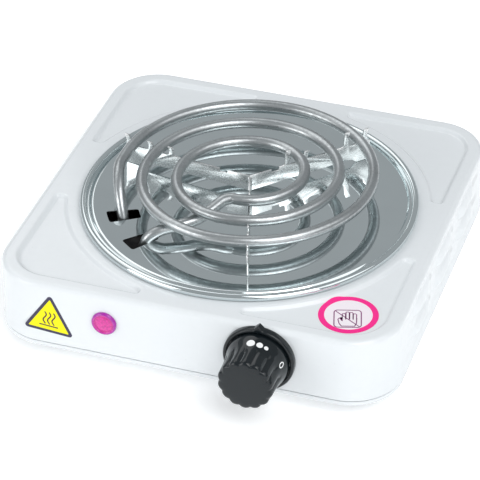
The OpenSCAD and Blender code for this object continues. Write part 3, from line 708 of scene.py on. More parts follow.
class HOTPLATE_OT_casing(bpy.types.Operator):
    """Make the pressed top shell with its corner panels and side louvres"""
    bl_idname = "hotplate.casing"
    bl_label = "Casing"

    def execute(self, context):
        settings = context.scene.hot_plate
        casing = settings.casing
        bm = bmesh.new()
        stops = louvre_stops()
        edge = casing.edge_radius
        rings = [(edge + mm(0.6), PLATE_Z)]
        for k in range(7):
            a = math.pi / 2 * k / 6
            rings.append((edge * (1 - math.sin(a)), PLATE_Z - edge * (1 - math.cos(a))))
        rings.append((0.0, PLATE_Z - edge - mm(0.6)))
        for mouth in reversed(LOUVRE_MOUTHS):
            for k in range(LOUVRE_ROWS, -1, -1):
                rings.append((0.0, PLATE_Z - mouth + LOUVRE_HIGH * k / LOUVRE_ROWS))
            rings.append((0.0, PLATE_Z - mouth - mm(0.7)))
        flare_top, flare_steps = SHELL_LOW.z + mm(8), 8
        for k in range(1, flare_steps + 1):
            t = k / flare_steps
            rings.append((-casing.flare * t ** 2.2,
                          flare_top - (flare_top - SHELL_LOW.z) * t))
        rows, lifted = [], []
        mouths = {round(PLATE_Z - m, 6) for m in LOUVRE_MOUTHS}
        for inset, z in rings:
            loop = rounded_loop(HALF_X - inset, HALF_Y - inset, casing.corner_radius - inset,
                                stops)
            row, upper = [], []
            for x, y in loop:
                out = louvre_bulge(x, y, z, casing.louvre_out)
                side = math.copysign(1.0, x)
                lip = bm.verts.new((x + side * out, y + CASING.y, z))
                upper.append(lip)
                split = round(z, 6) in mouths and out > 0
                row.append(bm.verts.new((x, y + CASING.y, z)) if split else lip)
            rows.append(row)
            lifted.append(upper)
        for above, below in zip(rows, lifted[1:]):
            join_loops(bm, [above, below])
        hole = new_loop(bm, circle(PAN.x, PAN.y, PLATE_HOLE_R, 160), PLATE_Z)
        top_edges = loop_edges(rows[0]) + loop_edges(hole)
        floor_edges = []
        levels = [mm(-0.5)] + [casing.panel_slope * k / 8 for k in range(9)]
        levels.append(casing.panel_slope + mm(0.5))
        loops = panel_loops(casing, levels)
        for sx in (-1, 1):
            for sy in (-1, 1):
                panel_rows = []
                for level, loop in zip(levels, loops):
                    z = PLATE_Z - panel_drop(casing, level)
                    panel_rows.append([bm.verts.new((sx * x, sy * y + CASING.y, z))
                                       for x, y in loop])
                join_loops(bm, panel_rows)
                top_edges += loop_edges(panel_rows[0])
                floor_edges.append(loop_edges(panel_rows[-1]))
        bmesh.ops.triangle_fill(bm, edges=top_edges, use_beauty=True)
        for edges in floor_edges:
            bmesh.ops.triangle_fill(bm, edges=edges, use_beauty=True)
        bmesh.ops.dissolve_degenerate(bm, dist=mm(0.001), edges=bm.edges)
        bm.faces.ensure_lookup_table()
        bmesh.ops.recalc_face_normals(bm, faces=bm.faces)
        probe = max(bm.faces, key=lambda f: f.calc_area())
        if probe.normal.dot(Vector((probe.calc_center_median().x / HALF_X, 0, 1))) < 0:
            bmesh.ops.reverse_faces(bm, faces=bm.faces)
        shell = sheet(bm, "casing_shell", white_enamel(settings), SHEET, 50)
        place(shell, "casing", "white_enamel", "top_shell")
        return {"FINISHED"}


VENT_LONG, VENT_WIDE = mm(44), mm(4)
VENT_APART_X, VENT_APART_Y = mm(38), mm(12)


def slot_outline(x, y, long, wide, steps=6):
    """A slot with round ends, lying along X."""
    reach = (long - wide) / 2
    right = [(x + reach + wide / 2 * math.cos(math.pi * (k / steps - 0.5)),
              y + wide / 2 * math.sin(math.pi * (k / steps - 0.5))) for k in range(steps + 1)]
    left = [(2 * x - px, 2 * y - py) for px, py in right]
    return right + left


class HOTPLATE_OT_tray(bpy.types.Operator):
    """Make the base tray with its bent edge, vents and rubber feet"""
    bl_idname = "hotplate.tray"
    bl_label = "Base tray and feet"

    def execute(self, context):
        settings = context.scene.hot_plate
        casing = settings.casing
        bm = bmesh.new()
        low, bend = TRAY_LOW.z, mm(1.6)
        lip = SHELL_LOW.z - mm(0.85)
        rings = [(bend + mm(0.6), low)]
        for k in range(6):
            a = math.pi / 2 * k / 5
            rings.append((bend * (1 - math.sin(a)), low + bend * (1 - math.cos(a))))
        rings += [(0.0, lip - mm(0.3)), (mm(0.15), lip - mm(0.05)), (mm(0.5), lip),
                  (SHEET + TRAY_GAP, lip), (SHEET + TRAY_GAP + mm(0.1), lip + mm(0.4)),
                  (SHEET + TRAY_GAP + mm(0.1), TRAY_HIGH.z)]
        out = mm(0.45)
        rows = []
        for inset, z in rings:
            loop = rounded_loop(HALF_X + out - inset, HALF_Y + out - inset,
                                casing.corner_radius + out - inset)
            rows.append([bm.verts.new((x, y + CASING.y, z)) for x, y in loop])
        join_loops(bm, rows)
        edges = loop_edges(rows[0])
        for i in (-1, 1):
            for j in range(-2, 3):
                outline = slot_outline(i * VENT_APART_X, CASING.y + j * VENT_APART_Y,
                                       VENT_LONG, VENT_WIDE)
                edges += loop_edges(new_loop(bm, outline, low))
        for foot in FEET:
            edges += loop_edges(new_loop(bm, circle(foot.x, foot.y, FOOT_SCREW_HOLE_R, 24), low))
        bmesh.ops.triangle_fill(bm, edges=edges, use_beauty=True)
        bmesh.ops.recalc_face_normals(bm, faces=bm.faces)
        probe = max(bm.faces, key=lambda f: f.calc_area())
        if probe.normal.z > 0:
            bmesh.ops.reverse_faces(bm, faces=bm.faces)
        tray = sheet(bm, "base_tray", white_enamel(settings), SHEET, 50)
        place(tray, "casing", "white_enamel", "base_plate")
        self.feet()
        return {"FINISHED"}

    def feet(self):
        profile = in_mm([(0, 1.6), (3.6, 1.6), (4.3, 0.9), (5, 0), (7.2, 0), (7.9, 0.2),
                         (8.3, 0.8), (8.6, 4), (8.9, 7.2), (8.7, 7.7), (8.2, 7.95), (0, 7.95)])
        points, faces = lathe(profile, 40, lambda a, r, h: (r * math.cos(a), r * math.sin(a), h))
        pattern = piece("foot_pattern", points, outward(points, faces), rubber())
        feet = copies("rubber_feet_turned", pattern, FEET, rubber(), 1.0)
        place(feet, "casing", "foot_rubber", "rubber_feet")


# ---------------------------------------------------------------- geometry nodes

def geometry_tree(name, inputs):
    """A new geometry tree. Each input is (name, kind, default)."""
    tree = bpy.data.node_groups.new(name, "GeometryNodeTree")
    tree.interface.new_socket("Geometry", in_out="INPUT", socket_type="NodeSocketGeometry")
    for socket, kind, default in inputs:
        made = tree.interface.new_socket(socket, in_out="INPUT", socket_type=kind)
        if default is not None:
            made.default_value = default
    tree.interface.new_socket("Geometry", in_out="OUTPUT", socket_type="NodeSocketGeometry")
    return tree, tree.nodes.new("NodeGroupInput"), tree.nodes.new("NodeGroupOutput")


def set_inputs(modifier, values):
    """Sets a tree's inputs by their sockets' identifiers."""
    for item in modifier.node_group.interface.items_tree:
        if item.item_type == "SOCKET" and item.in_out == "INPUT" and item.name in values:
            modifier[item.identifier] = values[item.name]


def copies_tree():
    """Copies of one pattern piece, one on each point."""
    name = "Copies On Points"
    if name in bpy.data.node_groups:
        return bpy.data.node_groups[name]
    tree, given, out = geometry_tree(name, [
        ("Pattern", "NodeSocketObject", None), ("Size", "NodeSocketFloat", 1.0),
        ("Material", "NodeSocketMaterial", None)])
    pattern = add_node(tree, "GeometryNodeObjectInfo")
    put = add_node(tree, "GeometryNodeInstanceOnPoints")
    real = add_node(tree, "GeometryNodeRealizeInstances")
    paint = add_node(tree, "GeometryNodeSetMaterial")
    connect(tree, (given, "Geometry", put, "Points"), (given, "Pattern", pattern, "Object"),
                  (pattern, "Geometry", put, "Instance"), (given, "Size", put, "Scale"),
                  (put, "Instances", real, "Geometry"), (real, "Geometry", paint, "Geometry"),
                  (given, "Material", paint, "Material"), (paint, "Geometry", out, "Geometry"))
    return tree


def copies(name, pattern, spots, material, size):
    """One plain mesh that holds the pattern piece at each spot. The pattern is removed."""
    holder = piece(name, spots, [], material)
    modifier = holder.modifiers.new("Copies", "NODES")
    modifier.node_group = copies_tree()
    set_inputs(modifier, {"Pattern": pattern, "Size": size, "Material": material})
    settle(holder)
    bpy.data.objects.remove(pattern)
    return holder


def tube_tree():
    """A round tube along the line that the object's edges make."""
    name = "Tube Along Line"
    if name in bpy.data.node_groups:
        return bpy.data.node_groups[name]
    tree, given, out = geometry_tree(name, [
        ("Radius", "NodeSocketFloat", mm(3)), ("Sides", "NodeSocketInt", 24),
        ("Material", "NodeSocketMaterial", None)])
    line = add_node(tree, "GeometryNodeMeshToCurve")
    ring = add_node(tree, "GeometryNodeCurvePrimitiveCircle")
    sweep = add_node(tree, "GeometryNodeCurveToMesh", {"Fill Caps": True})
    real = add_node(tree, "GeometryNodeRealizeInstances")
    paint = add_node(tree, "GeometryNodeSetMaterial")
    connect(tree, (given, "Geometry", line, "Mesh"), (given, "Radius", ring, "Radius"),
                  (given, "Sides", ring, "Resolution"), (line, "Curve", sweep, "Curve"),
                  (ring, "Curve", sweep, "Profile Curve"), (sweep, "Mesh", real, "Geometry"),
                  (real, "Geometry", paint, "Geometry"), (given, "Material", paint, "Material"),
                  (paint, "Geometry", out, "Geometry"))
    return tree


def tube(name, line, radius, sides, material):
    """A plain mesh tube along a list of points."""
    mesh = bpy.data.meshes.new(name)
    mesh.from_pydata([tuple(p) for p in line], [(k, k + 1) for k in range(len(line) - 1)], [])
    obj = bpy.data.objects.new(name, mesh)
    bpy.context.scene.collection.objects.link(obj)
    modifier = obj.modifiers.new("Tube", "NODES")
    modifier.node_group = tube_tree()
    set_inputs(modifier, {"Radius": radius, "Sides": sides, "Material": material})
    settle(obj, 60)
    bm = bmesh.new()
    bm.from_mesh(obj.data)
    if bm.calc_volume(signed=True) < 0:
        bmesh.ops.reverse_faces(bm, faces=bm.faces)
    bm.to_mesh(obj.data)
    bm.free()
    return obj


# ---------------------------------------------------------------- pan

SLOT_ANGLES = [211, 232]
SLOT_IN = mm(63.5)
SLOT_OUT = mm(82)
SLOT_HALF = 3.9
DISH_R = mm(89.5)


def pan_profile(pan):
    """Radius and height over the plate, from the middle of the dish out over the bead."""
    def dish(r):
        return pan.dish_middle + (pan.dish_edge - pan.dish_middle) * (r / DISH_R) ** 2

    radii = [mm(r) for r in range(4, 60, 6)]
    radii += [SLOT_IN - mm(2), SLOT_IN, mm(66), mm(70), mm(75), mm(79.5), SLOT_OUT]
    radii += [mm(84), mm(86.5), mm(88.6), mm(89.2)]
    profile = [(0.0, dish(0))] + [(r, dish(r)) for r in radii]
    bead_at = PAN_R - pan.bead_radius
    valley = pan.dish_edge - mm(1.3)
    profile += [(DISH_R + mm(0.3), pan.dish_edge - mm(0.1)),
                (DISH_R + mm(0.7), pan.dish_edge - mm(0.45)),
                (DISH_R + mm(1.2), pan.dish_edge - mm(0.95)),
                (DISH_R + mm(1.8), valley + mm(0.08)), (DISH_R + mm(2.5), valley)]
    for k in range(17):
        a = math.radians(202 - (202 + 62) * k / 16)
        profile.append((bead_at + pan.bead_radius * math.cos(a),
                        pan.bead_radius * (1 + math.sin(a))))
    return profile


class HOTPLATE_OT_pan(bpy.types.Operator):
    """Make the polished drip pan with its bead and two lead slots"""
    bl_idname = "hotplate.pan"
    bl_label = "Drip pan"

    def execute(self, context):
        settings = context.scene.hot_plate
        profile = pan_profile(settings.pan)
        angles = {round(1.5 * k, 3) for k in range(240)}
        for a in SLOT_ANGLES:
            angles = {x for x in angles if abs(x - a) > SLOT_HALF + 0.4}
            angles |= {a - SLOT_HALF, a - 2, a, a + 2, a + SLOT_HALF}
        angles = sorted(angles)
        bm = bmesh.new()
        pole = bm.verts.new(PAN + Vector((0, 0, profile[0][1])))
        rows = [[bm.verts.new((PAN.x + r * math.cos(math.radians(a)),
                               PAN.y + r * math.sin(math.radians(a)), PAN.z + z))
                 for a in angles] for r, z in profile[1:]]
        for k in range(len(angles)):
            bm.faces.new((pole, rows[0][k], rows[0][(k + 1) % len(angles)]))
        join_loops(bm, rows)
        self.cut_slots(bm)
        face_outwards(bm, 0, (0, 0, 1))
        pan = sheet(bm, "drip_pan_polished", polished_steel(settings), mm(0.6), 60)
        place(pan, "casing", "mirror_steel", "drip_pan")
        return {"FINISHED"}

    def cut_slots(self, bm):
        """Removes the faces inside the slots and rounds the corners that are left."""
        gone = []
        for face in bm.faces:
            away = face.calc_center_median() - PAN
            radius = math.hypot(away.x, away.y)
            turn = math.degrees(math.atan2(away.y, away.x)) % 360
            inside = any(abs(turn - a) < SLOT_HALF for a in SLOT_ANGLES)
            if inside and SLOT_IN < radius < SLOT_OUT:
                gone.append(face)
        bmesh.ops.delete(bm, geom=gone, context="FACES")
        corners = []
        for vert in bm.verts:
            away = vert.co - PAN
            radius = math.hypot(away.x, away.y)
            turn = math.degrees(math.atan2(away.y, away.x)) % 360
            at_side = any(abs(abs(turn - a) - SLOT_HALF) < 0.05 for a in SLOT_ANGLES)
            if at_side and min(abs(radius - SLOT_IN), abs(radius - SLOT_OUT)) < mm(0.05):
                corners.append(vert)
        bmesh.ops.bevel(bm, geom=corners, offset=mm(1.4), segments=3, profile=0.5,
                        affect="VERTICES")


# ---------------------------------------------------------------- element and rest

def catmull(a, b, c, d, t):
    """A point between b and c on a smooth curve through all four."""
    return 0.5 * (2 * b + (c - a) * t + (2 * a - 5 * b + 4 * c - d) * t * t
                  + (3 * b - a - 3 * c + d) * t * t * t)


def route(points, steps):
    """A smooth run of points through a route's own points."""
    run = []
    for i in range(len(points) - 1):
        four = [points[max(i - 1, 0)], points[i], points[i + 1],
                points[min(i + 2, len(points) - 1)]]
        run += [catmull(*four, s / steps) for s in range(steps)]
    return run + [points[-1]]


COIL_LIFT = mm(18)
OUTER_LEAD = [(-73.6, -12, 18), (-71.8, -19, 17.3), (-69.2, -26, 14), (-66.2, -32, 8.5),
              (-63.4, -36.2, 1.5), (-62, -37.8, -5), (-61.8, -38, -11), (-61.8, -38, -17)]
INNER_LEAD = [(-6.5, -27.4, 17.2), (-12, -33, 13.2), (-18, -39.6, 10.1), (-26, -46.8, 9),
              (-34, -52.4, 8), (-40, -55.6, 4.6), (-42.9, -56.6, -0.5), (-43.6, -56.6, -6),
              (-43.6, -56.6, -11), (-43.6, -56.6, -17)]


def lead_points(points):
    """Listed points of a lead, in millimetres from the pan."""
    return [Vector((mm(x), mm(y), mm(z))) for x, y, z in points]


def coil_line(element):
    """The tube's middle line: outer lead, spiral of half turns, inner lead."""
    step, outer = element.step, element.outer_radius
    edge = outer + step / 2
    inner = outer - 4 * step - step / 2
    outer_lead = [Vector((-edge, 0, COIL_LIFT)), Vector((-edge + mm(0.1), mm(-4), COIL_LIFT))]
    outer_lead += lead_points(OUTER_LEAD)
    inner_lead = [Vector((0, -inner, COIL_LIFT)),
                  Vector((mm(-2), -inner - mm(0.1), COIL_LIFT))]
    inner_lead += lead_points(INNER_LEAD)
    line = route(outer_lead, 8)[::-1]
    arcs = [(0.0, edge, 180, 90)]
    for k in range(5):
        right = k % 2 == 0
        arcs.append(((1 if right else -1) * step / 2, outer - k * step, 90 if right else 270,
                     180))
    for lift, radius, start, sweep in arcs:
        count = max(12, round(math.radians(sweep) * radius / mm(2.4)))
        for k in range(1, count + 1):
            a = math.radians(start - sweep * k / count)
            line.append(Vector((radius * math.cos(a), lift + radius * math.sin(a), COIL_LIFT)))
    line += route(inner_lead, 8)[1:]
    return [PAN + p for p in line]


class HOTPLATE_OT_element(bpy.types.Operator):
    """Make the spiral tube element"""
    bl_idname = "hotplate.element"
    bl_label = "Heating element"

    def execute(self, context):
        settings = context.scene.hot_plate
        element = settings.element
        coil = tube("heating_tube", coil_line(element), element.tube_radius, element.sides,
                    annealed_steel(settings))
        place(coil, "casing", "element_steel", "heater_coil")
        return {"FINISHED"}


HUB = Vector((mm(-1), mm(4.1), 0))
HUB_RADIUS = mm(1.2)
ARMS = [  # turn in degrees, start, fingers as (start, end, height) in millimetres
    (46.5, 0.3, [(22.6, 25.6, 24), (34.6, 37.6, 20), (61.4, 64.4, 24), (74, 77, 23)]),
    (172.5, 0.3, [(48.2, 51.2, 20), (61.4, 64.4, 20), (76.2, 78.8, 21.5)]),
    (-73, 1.3, [(54, 56.6, 20), (74, 77, 21.5)]),
]


def arm_outline(rest, start, fingers):
    """Side view of an arm: feet, sheared lower edge, notch by the hub, hooked fingers."""
    top = COIL_LIFT - mm(3.3)
    low, reach = rest.low, rest.reach
    foot = mm(2.28)
    points = [(mm(start), low), (reach - mm(14), low), (reach - mm(12), low - mm(0.5)),
              (reach - mm(9.5), foot + mm(0.4)), (reach - mm(8.8), foot), (reach, foot)]
    last = mm(fingers[-1][1])
    if last < reach - mm(0.5):
        points.append((reach, top))
    for a, b, high in reversed(fingers):
        a, b, high = mm(a), mm(b), mm(high)
        lean, root = mm(1.2), mm(1.3)
        rise = high - top
        if b + root < reach:
            points += [(b + root, top), (b + root * 0.35, top + root * 0.3)]
        points += [(b, top + root), (b + lean * 0.1, high - rise * 0.35),
                   (b + lean * 0.75, high - mm(0.7)), (b + lean, high - mm(0.2)),
                   (b + lean * 0.8, high), (a + lean * 0.9, high - mm(0.1)),
                   (a + lean * 0.3, high - rise * 0.25), (a, top + root),
                   (a - root * 0.35, top + root * 0.3), (a - root, top)]
    notch, wide, deep = mm(14), mm(5), mm(2)
    points += [(notch + wide, top), (notch + wide, top - deep), (notch, top - deep),
               (notch, top), (mm(start), top)]
    return points


class HOTPLATE_OT_rest(bpy.types.Operator):
    """Make the three-armed rest under the element"""
    bl_idname = "hotplate.rest"
    bl_label = "Element rest"

    def execute(self, context):
        settings = context.scene.hot_plate
        rest = settings.rest
        steel = strip_steel(settings)
        made = []
        for turn, start, fingers in ARMS:
            a = math.radians(turn)
            along = Vector((math.cos(a), math.sin(a), 0))
            aside = Vector((-math.sin(a), math.cos(a), 0))

            def to_row(u, v, w):
                return tuple(PAN + HUB + along * u + aside * w + Vector((0, 0, v)))

            outline = arm_outline(rest, start, fingers)
            points, faces = prism(outline, -rest.strip / 2, rest.strip / 2, to_row)
            made.append((points, faces, 0))
        profile = [(0, rest.low + mm(0.3)), (HUB_RADIUS, rest.low + mm(0.3)),
                   (HUB_RADIUS, mm(14.2)), (0, mm(14.2))]
        points, faces = lathe(profile, 24, lambda t, r, h: tuple(
            PAN + HUB + Vector((r * math.cos(t), r * math.sin(t), h))))
        hub = (points, outward(points, faces), 0)
        vee = self.strip("rest_vee", made[:2] + [hub], steel)
        place(vee, "casing", "strip_steel", "support_vee")
        front = self.strip("rest_front_arm", made[2:], steel)
        place(front, "casing", "strip_steel", "support_front_arm")
        return {"FINISHED"}

    def strip(self, name, parts, steel):
        points, faces, indices = joined(parts)
        obj = piece(name, points, faces, steel, indices)
        add_modifier(obj, "BEVEL", width=mm(0.14), segments=2, limit_method="ANGLE",
                     angle_limit=math.radians(50))
        return settle(obj, 30)


# ---------------------------------------------------------------- knob

def knob_profile(knob):
    """Radius and distance from the wall, from the back of the skirt over the bell and grip."""
    grip, out = knob.grip, knob.out
    skirt = [(knob.skirt - inside, along) for inside, along in in_mm([
        (0.6, 2), (0.15, 2.15), (0, 2.6), (0.02, 5.8), (0.25, 7.2), (0.55, 8.6), (0.9, 10),
        (1.2, 11.6)])]
    waist = [(grip + outside, along) for outside, along in in_mm([
        (0.4, 13.2), (0.25, 14.6), (0.1, 16), (0, 18), (-0.1, 22)])]
    rim = [(grip - inside, out - back) for inside, back in in_mm([
        (0.2, 2.6), (0.4, 1.7), (0.9, 1), (1.6, 0.6), (2.6, 0.4)])]
    face = [(grip * share, out - mm(back)) for share, back in (
        (0.7, 0.2), (0.45, 0.08), (0.2, 0.02))]
    return [(0.0, mm(2))] + skirt + waist + rim + face + [(0.0, out)]


def bell_radius(knob, along):
    """Radius of the knob's outside at a distance from the wall."""
    profile = [p for p in knob_profile(knob) if p[0] > knob.grip * 0.9]
    for (r0, h0), (r1, h1) in zip(profile[1:], profile[2:]):
        if h0 <= along <= h1:
            return r0 + (r1 - r0) * (along - h0) / max(h1 - h0, 1e-9)
    return knob.grip


class HOTPLATE_OT_knob(bpy.types.Operator):
    """Make the fluted knob with its level marks, and the fixed bezel"""
    bl_idname = "hotplate.knob"
    bl_label = "Knob and bezel"

    def execute(self, context):
        settings = context.scene.hot_plate
        knob = settings.knob
        spot = front_spot(KNOB)
        begin, full = mm(12), mm(17.5)

        def fluted(angle, radius, along):
            t = min(max((along - begin) / (full - begin), 0), 1)
            deep = t * t * (3 - 2 * t) * min(1.0, max(0.0, (radius / knob.grip - 0.72) / 0.2))
            lobe = (math.sin(angle * knob.flutes / 2) ** 2 + 0.004) ** 0.42
            return spot(angle, radius - mm(1.15) * deep * (1 - min(lobe, 1.0)), along)

        points, faces = lathe(knob_profile(knob), knob.flutes * 20, fluted)
        body = piece("control_knob", points, outward(points, faces), moulded_black(settings),
                     sharp=38)
        place(body, "knob_body", "knob_black", "knob")
        self.marks(knob)
        self.bezel(settings, spot)
        return {"FINISHED"}

    def marks(self, knob):
        """Three dots that grow with the heat, and a ring for off, on the bell of the skirt."""
        paint = vinyl("mark_white", (0.93, 0.94, 0.94))
        at, lift = mm(11), mm(0.07)
        parts = []

        def on_bell(angle):
            radius = bell_radius(knob, at)

            def to_row(u, v, w):
                along = at + v * 0.95
                r = bell_radius(knob, along) + w
                return front_spot(KNOB)(angle + u / radius, r, along)
            return to_row

        for degrees_round, size in ((96, 2.3), (78.4, 1.8), (65, 1.25)):
            outline = circle(0, 0, mm(size), 28)
            parts.append((*prism(outline, mm(-0.05), lift, on_bell(math.radians(degrees_round))),
                          0))
        outer = [(mm(1.45) * math.cos(t), mm(2.3) * math.sin(t))
                 for t in [math.tau * k / 28 for k in range(28)]]
        inner = [(0.62 * x, 0.74 * y) for x, y in outer]
        parts.append((*band(outer, inner, mm(-0.05), lift, on_bell(math.radians(20.5))), 0))
        points, faces, indices = joined(parts)
        marks = piece("knob_marks", points, faces, paint, indices)
        place(marks, "knob_body", "white_enamel")

    def bezel(self, settings, spot):
        knob = settings.knob
        seat = knob.skirt + mm(0.45)
        profile = [(0, 0), (knob.bezel - mm(0.1), 0), (knob.bezel, mm(0.2)),
                   (knob.bezel, mm(3.1)), (knob.bezel - mm(0.15), mm(3.6)),
                   (knob.bezel - mm(0.5), mm(4)), (knob.bezel - mm(0.9), mm(4.15)),
                   (seat + mm(0.5), mm(4.15)), (seat + mm(0.15), mm(4)), (seat, mm(3.6)),
                   (seat, mm(1.5)), (0, mm(1.4))]
        nub_half, nub_out = math.radians(7.5), mm(2.35)

        def pointed(angle, radius, along):
            off = abs((angle - math.pi / 2 + math.pi) % math.tau - math.pi)
            rise = max(0.0, 1 - off / nub_half) * min(1.0, max(0.0, (radius - seat) / mm(1.2)))
            drop = spot(angle, radius + nub_out * rise, along)
            below = drop[2] < SHELL_LOW.z + mm(1.4) and along < mm(0.85)
            return (drop[0], drop[1] - mm(0.9), drop[2]) if below else drop

        points, faces = lathe(profile, 240, pointed)
        bezel = piece("knob_bezel_ring", points, outward(points, faces),
                      moulded_black(settings, "bezel_black", 0.12, 0.24), sharp=35)
        place(bezel, "casing", "bezel_black", "knob_bezel")


# ---------------------------------------------------------------- lamp

def lens_plastic(settings):
    """Tinted lens: painted shade, a darker purple on the rounded rim from the distance round its
    axis, and a mottled middle.
    """
    name = "finish_lens_magenta"
    material = bpy.data.materials.new(name)
    material.use_nodes = True
    tree = material.node_tree
    skin = tree.nodes["Principled BSDF"]
    place_node = add_node(tree, "ShaderNodeTexCoord")
    shift = add_node(tree, "ShaderNodeMapping")
    shift.inputs["Location"].default_value = (-LAMP.x, 0, -LAMP.z)
    flat = add_node(tree, "ShaderNodeVectorMath", operation="MULTIPLY")
    flat.inputs[1].default_value = (1, 0, 1)
    radius = add_node(tree, "ShaderNodeVectorMath", operation="LENGTH")
    # Blends towards the rim colour, painted shade on the outer slope of the rim.
    rim_shade_ramp = add_node(tree, "ShaderNodeMapRange",
                    {"From Min": mm(5.2), "From Max": mm(6.6), "To Min": 0.0, "To Max": 1.0})
    mottle = add_node(tree, "ShaderNodeTexVoronoi", {"Scale": 900.0})
    rim_shade_mix = add_node(tree, "ShaderNodeMix", data_type="RGBA")
    spots = add_node(tree, "ShaderNodeMix", data_type="RGBA")
    bump = add_node(tree, "ShaderNodeBump", {"Strength": 0.4, "Distance": mm(0.2)})
    connect(tree, (place_node, "Object", shift, "Vector"), (shift, "Vector", flat, 0),
                  (flat, "Vector", radius, 0), (radius, "Value", rim_shade_ramp, "Value"),
                  (shift, "Vector", mottle, "Vector"))
    spots.inputs[6].default_value = tuple(settings.lamp.lens)
    spots.inputs[7].default_value = shade(settings.lamp.lens, 0.55)
    connect(tree, (mottle, "Distance", spots, "Factor"), (spots, 2, rim_shade_mix, 6))
    # The rim takes the darker purple as painted shade.
    rim_shade_mix.inputs[7].default_value = tuple(settings.lamp.rim)
    connect(tree, (rim_shade_ramp, "Result", rim_shade_mix, "Factor"), (rim_shade_mix, 2, skin, "Base Color"),
                  (mottle, "Distance", bump, "Height"), (bump, "Normal", skin, "Normal"))
    skin.inputs["Roughness"].default_value = 0.12
    skin.inputs["Coat Weight"].default_value = 0.6
    return material


class HOTPLATE_OT_lamp(bpy.types.Operator):
    """Make the indicator lamp's lens"""
    bl_idname = "hotplate.lamp"
    bl_label = "Indicator lens"

    def execute(self, context):
        settings = context.scene.hot_plate
        r = settings.lamp.radius
        stem = in_mm([(0, -10), (5.6, -10), (5.9, -0.5)])
        rim = [(r - inside, out) for inside, out in in_mm([
            (0, 0.02), (0, 0.7), (0.15, 1.2), (0.5, 1.65), (0.95, 1.85), (1.35, 1.8),
            (1.65, 1.5), (1.85, 1.15), (2.2, 1.1), (2.5, 1.35)])]
        profile = stem + rim + [(r * 0.5, mm(1.6)), (r * 0.25, mm(1.72)), (0, mm(1.75))]
        points, faces = lathe(profile, 72, front_spot(LAMP))
        lens = piece("lamp_lens", points, outward(points, faces), lens_plastic(settings),
                     sharp=60)
        place(lens, "casing", "lens_magenta", "indicator_lens")
        return {"FINISHED"}


# ---------------------------------------------------------------- labels

def on_front(origin, turn):
    """Label plane on the front wall: u to the right, v up, w outwards."""
    c, s = math.cos(turn), math.sin(turn)

    def to_row(u, v, w):
        return (origin.x + u * c - v * s, WALL_Y - w, origin.z + u * s + v * c)
    return to_row


def rounded_triangle(radius, corner, steps=8):
    """Outline of a triangle with a vertex up; radius reaches its sharp vertices."""
    points = []
    for k in range(3):
        a = math.radians(90 + 120 * k)
        cx = (radius - 2 * corner) * math.cos(a)
        cy = (radius - 2 * corner) * math.sin(a)
        points += [(cx + corner * math.cos(a + math.radians(-60 + 120 * s / steps)),
                    cy + corner * math.sin(a + math.radians(-60 + 120 * s / steps)))
                   for s in range(steps + 1)]
    return points


LABEL_THIN = mm(0.12)
LABEL_MARK = mm(0.18)


